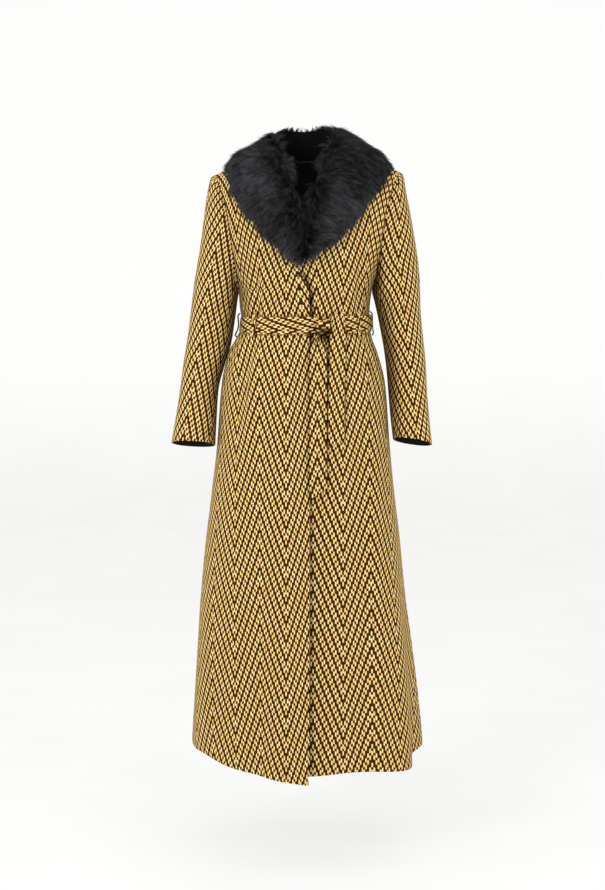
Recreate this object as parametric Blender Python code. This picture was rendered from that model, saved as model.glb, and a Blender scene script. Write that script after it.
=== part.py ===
# Belted coat: a long flared coat of herringbone wool with a fur shawl collar and a tie belt, in the shape it
# keeps when worn. Metres. +Z is up, the front faces -Y and the wearer's left side is +X.
# The origin lies at the middle of the shoulders, where the wearer holds the coat.

import math
from collections import namedtuple

import bmesh
import bpy
import numpy as np

# Cloth and clearances
CLOTH = 0.003           # coat cloth
BELT_CLOTH = 0.004      # belt: two layers pressed flat
LOOP_CLOTH = 0.002
SEAM_SETBACK = 0.0002   # each piece ends this far short of its seam line
ARMPIT_SETBACK = 0.0008 # a sleeve's own, at the armpit, where three pieces meet
REST_GAP = 0.0004       # between a piece and the cloth that it lies on

# Heights
ARMPIT = -0.272
HEM = -1.330            # hem's mean height
HEM_FROM = -1.020       # rows below this one lean towards the hem's own line
SHOULDER_ROUND = 0.130  # height of the rounding from chest to shoulder seam
NECK_SIDE = 0.075       # half width of the neck hole at the shoulder seams
BELT_TOP = -0.328
BELT_MIDDLE = -0.3475
BELT_FOOT = -0.367

# Grid
FRONT_COLUMNS = 12
BACK_COLUMNS = 18
CHEST_ROWS = 5          # armpit to the start of the shoulder rounding
SHOULDER_ROWS = 6       # over the rounding, to the shoulder seam
BODY_ROWS = (-0.272, -0.300, BELT_TOP, BELT_MIDDLE, BELT_FOOT, -0.395, -0.430, -0.480, -0.550, -0.630, -0.720,
             -0.810, -0.900, -0.990, -1.080, -1.160, -1.240, HEM)

# Level sections of the body: half width, middle, depth in front and behind. Above the armpit the half width
# is that of the section run on past the armhole.
SQUARENESS = 2.25
Section = namedtuple("Section", "z half_width middle front back")
SECTIONS = (
    Section(z=0.060, half_width=0.262, middle=0.000, front=0.094, back=0.098),
    Section(z=0.000, half_width=0.236, middle=0.000, front=0.098, back=0.104),
    Section(z=-0.043, half_width=0.216, middle=0.000, front=0.101, back=0.109),
    Section(z=-0.128, half_width=0.196, middle=0.000, front=0.110, back=0.116),
    Section(z=-0.166, half_width=0.186, middle=-0.001, front=0.116, back=0.117),
    Section(z=-0.234, half_width=0.162, middle=-0.002, front=0.121, back=0.111),
    Section(z=-0.272, half_width=0.149, middle=-0.003, front=0.119, back=0.104),
    Section(z=-0.304, half_width=0.146, middle=-0.004, front=0.113, back=0.096),
    Section(z=-0.3475, half_width=0.1432, middle=-0.0018, front=0.106, back=0.090),
    Section(z=-0.375, half_width=0.151, middle=-0.005, front=0.111, back=0.098),
    Section(z=-0.410, half_width=0.167, middle=-0.008, front=0.123, back=0.113),
    Section(z=-0.482, half_width=0.184, middle=-0.007, front=0.136, back=0.132),
    Section(z=-0.619, half_width=0.195, middle=-0.007, front=0.146, back=0.146),
    Section(z=-0.728, half_width=0.207, middle=-0.008, front=0.152, back=0.154),
    Section(z=-0.839, half_width=0.221, middle=-0.008, front=0.159, back=0.162),
    Section(z=-0.966, half_width=0.2345, middle=-0.0065, front=0.167, back=0.171),
    Section(z=-1.085, half_width=0.2470, middle=-0.0020, front=0.175, back=0.180),
    Section(z=-1.228, half_width=0.2605, middle=0.0020, front=0.185, back=0.191),
    Section(z=-1.360, half_width=0.2705, middle=0.0040, front=0.194, back=0.200),
)

# Shoulder seam: its height by distance from the middle. The wearer's left shoulder is a little higher.
SHOULDER_TILT = 0.020
Seam = namedtuple("Seam", "reach z")
SHOULDER = (
    Seam(reach=0.000, z=0.049),
    Seam(reach=0.075, z=0.039),
    Seam(reach=0.120, z=0.023),
    Seam(reach=0.170, z=0.003),
    Seam(reach=0.210, z=-0.014),
)

# Armhole: distance of its edge from the middle.
Hole = namedtuple("Hole", "z reach")
ARMHOLE = (
    Hole(z=0.010, reach=0.208),
    Hole(z=-0.012, reach=0.203),
    Hole(z=-0.050, reach=0.189),
    Hole(z=-0.098, reach=0.177),
    Hole(z=-0.166, reach=0.167),
    Hole(z=-0.234, reach=0.156),
    Hole(z=-0.272, reach=0.149),
)

# Front edges: the right front laps over, the left one runs on beneath it. Both open to a V at the neck.
Edge = namedtuple("Edge", "z right left")
FRONT_EDGES = (
    Edge(z=0.045, right=-0.075, left=0.075),
    Edge(z=0.000, right=-0.068, left=0.062),
    Edge(z=-0.100, right=-0.050, left=0.026),
    Edge(z=-0.170, right=-0.041, left=-0.006),
    Edge(z=-0.205, right=-0.034, left=-0.026),
    Edge(z=-0.222, right=-0.024, left=-0.034),
    Edge(z=-0.245, right=-0.007, left=-0.044),
    Edge(z=-0.262, right=0.001, left=-0.050),
    Edge(z=-0.290, right=0.0045, left=-0.056),
    Edge(z=-0.370, right=0.0045, left=-0.060),
    Edge(z=-1.400, right=0.0030, left=-0.060),
)

# The upper front stands this far out over the lower one, and lies flat again LAP_WIDTH from its free edge.
LAP_COVER = 0.070
LAP_WIDTH = 0.120
Lap = namedtuple("Lap", "z lift")
LAP = (
    Lap(z=-0.180, lift=0.0042),
    Lap(z=-0.350, lift=0.0042),
    Lap(z=-0.700, lift=0.0060),
    Lap(z=-1.350, lift=0.0160),
)

# Hem line, by turn from the middle of the front in degrees.
Hem = namedtuple("Hem", "turn right left")
HEM_LINE = (
    Hem(turn=0, right=-1.3475, left=-1.3330),
    Hem(turn=20, right=-1.3333, left=-1.3260),
    Hem(turn=40, right=-1.3210, left=-1.3305),
    Hem(turn=60, right=-1.3010, left=-1.3330),
    Hem(turn=75, right=-1.2985, left=-1.3200),
    Hem(turn=90, right=-1.2975, left=-1.3120),
    Hem(turn=120, right=-1.3010, left=-1.3100),
    Hem(turn=180, right=-1.3140, left=-1.3140),
)

# Soft folds of the cloth: where they run, how far they stand out, and how wide they are.
Fold = namedtuple("Fold", "turn_top turn_foot z_top z_foot height width")
FOLDS = (
    Fold(turn_top=60, turn_foot=41, z_top=-0.80, z_foot=-1.60, height=0.028, width=13),
    Fold(turn_top=82, turn_foot=66, z_top=-0.75, z_foot=-1.60, height=-0.034, width=12),
    Fold(turn_top=-31, turn_foot=-37, z_top=-0.34, z_foot=-0.66, height=0.0065, width=6),
    Fold(turn_top=-44, turn_foot=-50, z_top=-0.34, z_foot=-0.62, height=-0.0045, width=6),
    Fold(turn_top=-66, turn_foot=-60, z_top=-0.70, z_foot=-1.60, height=0.012, width=14),
    Fold(turn_top=40, turn_foot=43, z_top=-0.34, z_foot=-0.60, height=0.005, width=6),
    Fold(turn_top=62, turn_foot=58, z_top=-0.34, z_foot=-0.56, height=-0.004, width=7),
    Fold(turn_top=130, turn_foot=126, z_top=-0.60, z_foot=-1.60, height=0.022, width=16),
    Fold(turn_top=180, turn_foot=180, z_top=-0.60, z_foot=-1.60, height=-0.012, width=18),
    Fold(turn_top=-132, turn_foot=-128, z_top=-0.60, z_foot=-1.60, height=0.020, width=16),
    Fold(turn_top=158, turn_foot=150, z_top=-0.34, z_foot=-0.62, height=0.005, width=8),
    Fold(turn_top=-156, turn_foot=-150, z_top=-0.34, z_foot=-0.62, height=0.005, width=8),
)

# Sleeves: the outer and the inner line of each in front view, half depth and middle from front to back.
Ring = namedtuple("Ring", "outer_x outer_z inner_x inner_z half_depth middle")
SLEEVE_RIGHT = (
    Ring(outer_x=0.2030, outer_z=-0.012, inner_x=0.1520, inner_z=-0.272, half_depth=0.060, middle=0.002),
    Ring(outer_x=0.2115, outer_z=-0.021, inner_x=0.1526, inner_z=-0.275, half_depth=0.061, middle=0.002),
    Ring(outer_x=0.2165, outer_z=-0.041, inner_x=0.1533, inner_z=-0.279, half_depth=0.062, middle=0.002),
    Ring(outer_x=0.2230, outer_z=-0.080, inner_x=0.1542, inner_z=-0.284, half_depth=0.063, middle=0.003),
    Ring(outer_x=0.2312, outer_z=-0.130, inner_x=0.1552, inner_z=-0.291, half_depth=0.063, middle=0.004),
    Ring(outer_x=0.2405, outer_z=-0.185, inner_x=0.1565, inner_z=-0.301, half_depth=0.062, middle=0.006),
    Ring(outer_x=0.2520, outer_z=-0.250, inner_x=0.1590, inner_z=-0.320, half_depth=0.060, middle=0.008),
    Ring(outer_x=0.2600, outer_z=-0.310, inner_x=0.1635, inner_z=-0.350, half_depth=0.058, middle=0.009),
    Ring(outer_x=0.2680, outer_z=-0.372, inner_x=0.1705, inner_z=-0.392, half_depth=0.056, middle=0.007),
    Ring(outer_x=0.2780, outer_z=-0.435, inner_x=0.1850, inner_z=-0.440, half_depth=0.053, middle=0.001),
    Ring(outer_x=0.2855, outer_z=-0.496, inner_x=0.1990, inner_z=-0.497, half_depth=0.050, middle=-0.008),
    Ring(outer_x=0.2945, outer_z=-0.555, inner_x=0.2025, inner_z=-0.556, half_depth=0.048, middle=-0.018),
    Ring(outer_x=0.3040, outer_z=-0.613, inner_x=0.2055, inner_z=-0.618, half_depth=0.047, middle=-0.028),
)
SLEEVE_LEFT = (
    Ring(outer_x=0.2030, outer_z=-0.008, inner_x=0.1460, inner_z=-0.272, half_depth=0.060, middle=0.002),
    Ring(outer_x=0.2115, outer_z=-0.015, inner_x=0.1470, inner_z=-0.275, half_depth=0.061, middle=0.002),
    Ring(outer_x=0.2160, outer_z=-0.034, inner_x=0.1482, inner_z=-0.279, half_depth=0.062, middle=0.002),
    Ring(outer_x=0.2225, outer_z=-0.074, inner_x=0.1500, inner_z=-0.285, half_depth=0.063, middle=0.003),
    Ring(outer_x=0.2355, outer_z=-0.128, inner_x=0.1520, inner_z=-0.293, half_depth=0.063, middle=0.004),
    Ring(outer_x=0.2475, outer_z=-0.185, inner_x=0.1550, inner_z=-0.305, half_depth=0.062, middle=0.006),
    Ring(outer_x=0.2550, outer_z=-0.250, inner_x=0.1600, inner_z=-0.326, half_depth=0.060, middle=0.008),
    Ring(outer_x=0.2575, outer_z=-0.318, inner_x=0.1665, inner_z=-0.358, half_depth=0.058, middle=0.009),
    Ring(outer_x=0.2640, outer_z=-0.382, inner_x=0.1740, inner_z=-0.398, half_depth=0.056, middle=0.007),
    Ring(outer_x=0.2695, outer_z=-0.440, inner_x=0.1800, inner_z=-0.444, half_depth=0.053, middle=0.001),
    Ring(outer_x=0.2720, outer_z=-0.498, inner_x=0.1845, inner_z=-0.498, half_depth=0.050, middle=-0.008),
    Ring(outer_x=0.2762, outer_z=-0.555, inner_x=0.1890, inner_z=-0.554, half_depth=0.048, middle=-0.018),
    Ring(outer_x=0.2825, outer_z=-0.617, inner_x=0.1945, inner_z=-0.604, half_depth=0.047, middle=-0.028),
)
CUFF_TILT = 0.020       # the cuff's front edge lies this much higher than its middle, the back edge lower
SLEEVE_FAN = 5          # over this many rings the armhole's own line turns into the sleeve's oval

# Fur collar, from the right break point round the neck to the left one: its inner and outer edge and its
# thickness.
Fur = namedtuple("Fur", "inner_x inner_y inner_z outer_x outer_y outer_z thickness")
ON_FRONT = None         # in a y column: the edge lies on the coat's front
COLLAR = (
    Fur(-0.0040, ON_FRONT, -0.205, -0.0200, ON_FRONT, -0.2180, 0.017),
    Fur(-0.0070, ON_FRONT, -0.170, -0.0520, ON_FRONT, -0.204, 0.026),
    Fur(-0.0100, ON_FRONT, -0.128, -0.0890, ON_FRONT, -0.167, 0.030),
    Fur(-0.0165, ON_FRONT, -0.084, -0.1215, ON_FRONT, -0.129, 0.032),
    Fur(-0.0280, ON_FRONT, -0.038, -0.1500, ON_FRONT, -0.089, 0.033),
    Fur(-0.0430, -0.078, 0.010, -0.1710, ON_FRONT, -0.050, 0.031),
    Fur(-0.0560, -0.045, 0.050, -0.1765, -0.022, -0.010, 0.026),
    Fur(-0.0640, -0.002, 0.073, -0.1760, 0.030, -0.005, 0.017),
    Fur(-0.0570, 0.040, 0.083, -0.1540, 0.078, -0.015, 0.021),
    Fur(-0.0350, 0.066, 0.094, -0.0950, 0.112, -0.034, 0.029),
    Fur(-0.0030, 0.076, 0.094, 0.0030, 0.124, -0.044, 0.029),
    Fur(0.0290, 0.066, 0.098, 0.1010, 0.112, -0.030, 0.029),
    Fur(0.0490, 0.040, 0.095, 0.1660, 0.078, -0.008, 0.025),
    Fur(0.0540, -0.002, 0.084, 0.1890, 0.028, 0.002, 0.020),
    Fur(0.0460, -0.045, 0.054, 0.1860, -0.024, -0.003, 0.029),
    Fur(0.0310, -0.078, 0.010, 0.1690, ON_FRONT, -0.040, 0.031),
    Fur(0.0150, ON_FRONT, -0.038, 0.1450, ON_FRONT, -0.070, 0.031),
    Fur(0.0020, ON_FRONT, -0.084, 0.1190, ON_FRONT, -0.114, 0.030),
    Fur(-0.0055, ON_FRONT, -0.128, 0.0840, ON_FRONT, -0.149, 0.028),
    Fur(-0.0035, ON_FRONT, -0.168, 0.0490, ON_FRONT, -0.184, 0.024),
    Fur(-0.0010, ON_FRONT, -0.198, 0.0170, ON_FRONT, -0.206, 0.017),
)
COLLAR_STATIONS = 40
COLLAR_STEPS = 8        # across, from the outer to the inner edge
FUR_CLEAR = 0.0030      # under the fur, so that its flat faces stay off the rounded shoulder
Numbered = namedtuple("Numbered", ("index", *Fur._fields))

# Belt ends, as hung: the middle line and half width down the front, and the cut ends' slant.
Strip = namedtuple("Strip", "x_top x_foot half_width z_top z_foot slant")
LONG_END = Strip(x_top=0.0250, x_foot=0.0258, half_width=0.0190, z_top=-0.378, z_foot=-0.712, slant=0.012)
SHORT_END = Strip(x_top=0.0695, x_foot=0.0640, half_width=0.0185, z_top=-0.3235, z_foot=-0.604, slant=0.009)
LONG_ROWS = tuple(i / 12 for i in range(13))    # shares of the length at which each end has a row of points
SHORT_ROWS = (0.0, 0.012, 0.045, 0.10, 0.16, 0.21, 0.30, 0.42, 0.56, 0.70, 0.85, 1.0)

# Knot: a rounded block of wrapped belt.
KNOT_MIDDLE = (0.0385, -0.3560)
KNOT_SIZE = (0.028, 0.020, 0.034)
KNOT_TURN = 12          # degrees, its upper end leaning to the wearer's right

# Belt loops, by their place across the coat: narrow strips of cloth that stand off the belt.
LOOP_WIDTH = 0.008
LOOP_REACH = 0.006      # above and below the belt
LOOP_TURNS = {
    "loop_front_right": -47.0,
    "loop_front_left": 50.0,
    "loop_side_right": -86.0,
    "loop_side_left": 86.0,
}

# Finishes
WOOL = dict(color=(0.62, 0.46, 0.13), roughness=0.9, metallic=0.0)
FUR = dict(color=(0.016, 0.016, 0.018), roughness=0.8, metallic=0.0)


def smooth_value(rows, key, column, where):
    """A column's value at a key, on a smooth curve through the rows that doesn't overshoot them."""
    keys = np.array([getattr(row, key) for row in rows], float)
    values = np.array([getattr(row, column) for row in rows], float)
    if keys[0] > keys[-1]:
        keys = keys[::-1]
        values = values[::-1]
    where = min(max(where, keys[0]), keys[-1])
    steps = np.diff(keys)
    rises = np.diff(values) / steps
    slopes = np.concatenate(([rises[0]], np.zeros(len(rises) - 1), [rises[-1]]))
    for i in range(1, len(rises)):
        if rises[i - 1] * rises[i] > 0:
            slopes[i] = 2 * rises[i - 1] * rises[i] / (rises[i - 1] + rises[i])
    i = min(int(np.searchsorted(keys, where, side="right")) - 1, len(rises) - 1)
    t = (where - keys[i]) / steps[i]
    start = values[i] * (1 + 2 * t) * (1 - t) ** 2 + slopes[i] * steps[i] * t * (1 - t) ** 2
    end = values[i + 1] * t * t * (3 - 2 * t) + slopes[i + 1] * steps[i] * t * t * (t - 1)
    return float(start + end)


def ease(share):
    """0 to 1, slow at both ends."""
    share = min(max(share, 0.0), 1.0)
    return share * share * (3 - 2 * share)


def signed_power(value, power):
    return math.copysign(abs(value) ** power, value)


def unit(vectors):
    """Each vector at length one."""
    return vectors / np.maximum(np.linalg.norm(vectors, axis=-1, keepdims=True), 1e-12)


def section(z):
    """Half width, middle, front depth and back depth of the body at a height."""
    return tuple(smooth_value(SECTIONS, "z", name, z) for name in ("half_width", "middle", "front", "back"))


def shoulder_z(x):
    return smooth_value(SHOULDER, "reach", "z", abs(x)) + SHOULDER_TILT * x


def body_depth(x, z, face):
    """How far the coat's surface lies from the side plane, at x and z. The face is -1 in front, 1 behind."""
    round_from = shoulder_z(x) - SHOULDER_ROUND
    half_width, middle = section(z)[:2]
    depth = section(min(z, round_from))[2 if face < 0 else 3]
    across = min(abs(x - middle) / half_width, 1.0)
    depth *= (1 - across ** SQUARENESS) ** (1 / SQUARENESS)
    if z > round_from:
        depth *= math.sqrt(max(0.0, 1 - ((z - round_from) / SHOULDER_ROUND) ** 2))
    return depth


def fold_height(turn, z):
    """How far the folds move the cloth out at a turn from the front's middle, in degrees, and a height."""
    height = 0.0
    for fold in FOLDS:
        if z < fold.z_top:
            share = (fold.z_top - z) / (fold.z_top - fold.z_foot)
            if share < 1:
                off = (turn - fold.turn_top - (fold.turn_foot - fold.turn_top) * share + 180) % 360 - 180
                strength = ease(2.5 * share) * (ease(2.5 * (1 - share)) if fold.z_foot > HEM else 1.0)
                strength *= share if fold.z_foot < HEM else 1.0
                height += fold.height * strength * math.exp(-(off / fold.width) ** 2)
    return height


def hem_z(turn):
    side = "right" if turn < 0 else "left"
    return smooth_value(HEM_LINE, "turn", side, abs(turn))


def ring_point(turn, z):
    """A point of the body below the armpits, at a turn in degrees from the front middle, left being more."""
    half_width, middle, front, back = section(z)
    angle = math.radians(turn)
    power = 2 / SQUARENESS
    sine = signed_power(math.sin(angle), power)
    cosine = signed_power(math.cos(angle), power)
    depth = front if cosine > 0 else back
    out = unit(np.array([sine / half_width, -cosine / depth, 0.0]))
    point = np.array([middle + half_width * sine, -depth * cosine, z])
    return point + out * fold_height(turn, z)


def turn_at(x, z):
    """The turn at which the front of the section crosses x, in degrees."""
    half_width, middle = section(z)[:2]
    share = max(-1.0, min(1.0, (x - middle) / half_width))
    return math.degrees(math.asin(signed_power(share, SQUARENESS / 2)))


def body_row_z(row_z, hem):
    """A row's height where the hem has its own height: the lowest rows share out the difference."""
    if row_z > HEM_FROM:
        return row_z
    return row_z + (hem - HEM) * ((HEM_FROM - row_z) / (HEM_FROM - HEM)) ** 2


def lap_lift(x, z, edge):
    """How far the upper front stands out near its free edge."""
    lift = smooth_value(LAP, "z", "lift", z)
    return lift * ease((LAP_WIDTH - abs(edge - x)) / (LAP_WIDTH - LAP_COVER))


def rise_point(x, rise, face):
    """A point of the body from the armpits (rise 0) to the shoulder seam (rise 1), at x."""
    round_from = shoulder_z(x) - SHOULDER_ROUND
    chest_share = CHEST_ROWS / (CHEST_ROWS + SHOULDER_ROWS)
    if rise <= chest_share:
        z = ARMPIT + (round_from - ARMPIT) * rise / chest_share
    else:
        z = round_from + SHOULDER_ROUND * math.sin((rise - chest_share) / (1 - chest_share) * math.pi / 2)
    return np.array([x, face * body_depth(x, z, face), z])


def x_on_line(rows, column, rise, face, side=1):
    """Where a line given by height crosses the row at this rise."""
    x = side * getattr(rows[-1], column)
    for _ in range(12):
        x = side * smooth_value(rows, "z", column, rise_point(x, rise, face)[2])
    return x


def upper_row(inner_x, outer_x, rise, face, columns):
    """A row of points from the front edge or the middle of the back out to the armhole."""
    z = rise_point(outer_x, rise, face)[2]
    half_width, middle = section(z)[:2]
    power = SQUARENESS / 2
    start = math.asin(signed_power((inner_x - middle) / half_width, power))
    end = math.asin(signed_power(max(-1.0, min(1.0, (outer_x - middle) / half_width)), power))
    row = []
    for i in range(columns + 1):
        sine = math.sin(start + (end - start) * i / columns)
        row.append(rise_point(middle + half_width * signed_power(sine, 1 / power), rise, face))
    row[-1] = rise_point(outer_x, rise, face)
    return row


def front_grid(side):
    """The outer points of a front, hem to shoulder. The side is -1 for the wearer's right."""
    name = "right" if side < 0 else "left"
    rows = []
    for row_z in reversed(BODY_ROWS):
        edge = smooth_value(FRONT_EDGES, "z", name, row_z)
        start = turn_at(edge, row_z)
        row = []
        for i in range(FRONT_COLUMNS + 1):
            turn = start + (side * 90 - start) * i / FRONT_COLUMNS
            hem = smooth_value(HEM_LINE, "turn", name, max(0.0, side * turn))
            row.append(ring_point(turn, body_row_z(row_z, hem)))
        rows.append(row)
    for i in range(1, CHEST_ROWS + SHOULDER_ROWS + 1):
        rise = i / (CHEST_ROWS + SHOULDER_ROWS)
        inner_x = x_on_line(FRONT_EDGES, name, rise, -1)
        outer_x = x_on_line(ARMHOLE, "reach", rise, -1, side)
        rows.append(upper_row(inner_x, outer_x, rise, -1, FRONT_COLUMNS))
    grid = np.array(rows)
    if side < 0:
        for row in grid:
            edge = row[0][0]
            for point in row:
                point[1] -= lap_lift(point[0], point[2], edge)
    return grid


def back_grid():
    """The outer points of the back, hem to neck and shoulders, from the wearer's left side to the right."""
    rows = []
    for row_z in reversed(BODY_ROWS):
        row = []
        for i in range(BACK_COLUMNS + 1):
            turn = 90 + 180 * i / BACK_COLUMNS
            hem = hem_z(turn if turn <= 180 else turn - 360)
            row.append(ring_point(turn, body_row_z(row_z, hem)))
        rows.append(row)
    half = BACK_COLUMNS // 2
    for i in range(1, CHEST_ROWS + SHOULDER_ROWS + 1):
        rise = i / (CHEST_ROWS + SHOULDER_ROWS)
        row = []
        for side in (1, -1):
            outer_x = x_on_line(ARMHOLE, "reach", rise, 1, side)
            part = upper_row(0.0, outer_x, rise, 1, half)
            row.extend(part[:0:-1] if side > 0 else part)
        rows.append(row)
    grid = np.array(rows)
    scoop_back_neck(grid)
    return grid


def scoop_back_neck(grid):
    """Draws the top rows down behind the neck, between the two shoulder seams."""
    first = len(BODY_ROWS) + CHEST_ROWS - 1
    for column in range(grid.shape[1]):
        reach = abs(grid[-1, column, 0])
        if reach >= NECK_SIDE:
            continue
        top = 1 - 0.42 * ease((NECK_SIDE - reach) / NECK_SIDE * 1.2)
        for row in range(first + 1, grid.shape[0]):
            share = (row - first) / SHOULDER_ROWS * top
            chest_share = CHEST_ROWS / (CHEST_ROWS + SHOULDER_ROWS)
            rise = chest_share + share * (1 - chest_share)
            grid[row, column] = rise_point(grid[row, column, 0], rise, 1)


def armhole_line(front, back, side):
    """The armhole's points: up the front edge from the armpit, over the shoulder and down the back edge."""
    first = len(BODY_ROWS) - 1
    back_column = 0 if side > 0 else -1
    return np.concatenate((front[first:, -1], back[first + 1:-1, back_column][::-1]))


def sleeve_grid(rings, side, armhole):
    """The outer points of a sleeve, armhole to cuff. Each ring starts at the armpit and runs forward."""
    count = len(armhole)
    rows = []
    for number, ring in enumerate(rings):
        inner = np.array([side * ring.inner_x, ring.middle, ring.inner_z])
        outer = np.array([side * ring.outer_x, ring.middle, ring.outer_z])
        centre = (inner + outer) / 2
        reach = (outer - inner) / 2
        share = ease(number / SLEEVE_FAN)
        last = number / (len(rings) - 1)
        head = ring.outer_x - rings[0].outer_x
        start = armhole.copy()
        points = []
        for i in range(count):
            angle = 2 * math.pi * i / count
            sine = signed_power(math.sin(angle), 0.92)
            cosine = signed_power(math.cos(angle), 0.92)
            point = centre - reach * cosine - np.array([0.0, ring.half_depth * sine, 0.0])
            point[2] += CUFF_TILT * sine * last ** 3
            start[i, 0] += side * head * min(1.0, 1 - math.cos(angle))
            points.append(point)
        rows.append((1 - share) * start + share * np.array(points))
    return np.array(rows)


def outward(grid, closed):
    """Unit directions across the cloth at each point, from the directions of its neighbours."""
    if closed:
        across = np.roll(grid, -1, axis=1) - np.roll(grid, 1, axis=1)
    else:
        across = np.gradient(grid, axis=1)
    return unit(np.cross(unit(across), unit(np.gradient(grid, axis=0))))


def share_seam(*edges):
    """Gives the edges that meet at a seam one thickness direction, mitred between them."""
    total = sum(edges)
    length = np.maximum(np.linalg.norm(total, axis=-1, keepdims=True) / len(edges), 0.60)
    shared = unit(total) / length
    for edge in edges:
        edge[...] = shared


def set_back(grid, axis, index):
    """Moves a panel's edge a little short of its seam."""
    grid = np.moveaxis(grid, axis, 0)
    neighbour = 1 if index == 0 else index - 1
    grid[index] += unit(grid[neighbour] - grid[index]) * SEAM_SETBACK


def new_object(name, bm, finish, collection):
    bmesh.ops.remove_doubles(bm, verts=bm.verts, dist=1e-7)
    bmesh.ops.recalc_face_normals(bm, faces=bm.faces)
    mesh = bpy.data.meshes.new(name)
    bm.to_mesh(mesh)
    bm.free()
    mesh.shade_smooth()
    mesh.set_sharp_from_angle(angle=math.radians(50))
    material = bpy.data.materials.new(name)
    material.use_nodes = True
    shader = material.node_tree.nodes["Principled BSDF"]
    shader.inputs["Base Color"].default_value = (*finish["color"], 1)
    shader.inputs["Roughness"].default_value = finish["roughness"]
    shader.inputs["Metallic"].default_value = finish["metallic"]
    mesh.materials.append(material)
    piece = bpy.data.objects.new(name, mesh)
    collection.objects.link(piece)
    return piece


def cloth_wall(name, outer, inner, closed, finish, collection):
    """A wall of cloth between its outer and its inner points, closed round if it is a tube."""
    bm = bmesh.new()
    rows, columns = outer.shape[:2]
    sheets = [[[bm.verts.new(point) for point in row] for row in sheet] for sheet in (outer, inner)]
    last = columns if closed else columns - 1
    for sheet in sheets:
        for i in range(rows - 1):
            for j in range(last):
                k = (j + 1) % columns
                bm.faces.new((sheet[i][j], sheet[i][k], sheet[i + 1][k], sheet[i + 1][j]))
    front, behind = sheets
    for i in (0, rows - 1):
        for j in range(last):
            k = (j + 1) % columns
            bm.faces.new((front[i][j], front[i][k], behind[i][k], behind[i][j]))
    if not closed:
        for j in (0, columns - 1):
            for i in range(rows - 1):
                bm.faces.new((front[i][j], front[i + 1][j], behind[i + 1][j], behind[i][j]))
    return new_object(name, bm, finish, collection)


def section_loft(name, sections, round_trip, finish, collection):
    """A solid through closed sections, with flat ends unless the sections run all the way round."""
    bm = bmesh.new()
    loops = [[bm.verts.new(point) for point in loop] for loop in sections]
    count = len(loops[0])
    pairs = list(zip(loops, loops[1:]))
    if round_trip:
        pairs.append((loops[-1], loops[0]))
    for first, second in pairs:
        for j in range(count):
            k = (j + 1) % count
            bm.faces.new((first[j], first[k], second[k], second[j]))
    if not round_trip:
        bm.faces.new(loops[0])
        bm.faces.new(loops[-1])
    return new_object(name, bm, finish, collection)


def inward_directions(name, grid):
    """Unit directions from each point of a panel or sleeve into its cloth."""
    closed = name.startswith("sleeve")
    directions = outward(grid, closed)
    middle_row = grid.shape[0] // 2
    if closed:
        directions[0] = outward(grid[::3], closed=True)[0]
        directions[1] = unit(directions[0] + directions[3])
        inside = grid[middle_row].mean(axis=0)
    else:
        inside = np.array([0.0, 0.0, grid[..., 2].mean()])
    facing = np.sum(directions[middle_row] * (inside - grid[middle_row]))
    return directions if facing > 0 else -directions


def share_side_seams(inward, front, sleeve, back_column):
    """Mitres one side of the coat: the side seam, the armhole's two halves and the shoulder point."""
    armpit = len(BODY_ROWS) - 1
    seams = CHEST_ROWS + SHOULDER_ROWS
    share_seam(inward[front][:armpit, -1], inward["back"][:armpit, back_column])
    share_seam(inward[front][armpit + 1:-1, -1], inward[sleeve][0, 1:seams])
    share_seam(inward["back"][armpit + 1:-1, back_column], inward[sleeve][0, :seams:-1])
    for corner in (inward[front][armpit, -1], inward["back"][armpit, back_column], inward[sleeve][0, 0]):
        corner[...] = (0.0, 0.0, 1.5)
    share_seam(inward[front][-1, -1], inward["back"][-1, back_column], inward[sleeve][0, seams])


def make_coat_cloth(collection):
    """Fronts, back and sleeves."""
    grids = {"front_right": front_grid(-1), "front_left": front_grid(1), "back": back_grid()}
    armhole = armhole_line(grids["front_right"], grids["back"], -1)
    grids["sleeve_right"] = sleeve_grid(SLEEVE_RIGHT, -1, armhole)
    armhole = armhole_line(grids["front_left"], grids["back"], 1)
    grids["sleeve_left"] = sleeve_grid(SLEEVE_LEFT, 1, armhole)

    inward = {name: inward_directions(name, grid) for name, grid in grids.items()}
    share_side_seams(inward, "front_right", "sleeve_right", -1)
    share_side_seams(inward, "front_left", "sleeve_left", 0)
    for front in ("front_right", "front_left"):
        inward[front][-1, :FRONT_COLUMNS] = (0.0, 0.0, -1.0)
    for number in range(BACK_COLUMNS + 1):
        if NECK_SIDE - 0.002 <= abs(grids["back"][-1, number, 0]) < 0.198:
            inward["back"][-1, number] = (0.0, 0.0, -1.0)

    for name, grid in grids.items():
        closed = name.startswith("sleeve")
        outer = grid.copy()
        inner = grid + inward[name] * CLOTH
        for sheet in (outer, inner):
            if closed:
                side = math.copysign(1.0, sheet[0, 0, 0])
                sheet[0, :, 0] += 2 * side * SEAM_SETBACK
                sheet[0, (0, 1, -1), 0] += side * ARMPIT_SETBACK
                sheet[1:SLEEVE_FAN, (0, 1, -1), 0] += 2 * side * ARMPIT_SETBACK
            else:
                set_back(sheet, 1, sheet.shape[1] - 1)
                set_back(sheet, 0, sheet.shape[0] - 1)
                if name == "back":
                    set_back(sheet, 1, 0)
        cloth_wall(name, outer, inner, closed, WOOL, collection)


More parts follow.
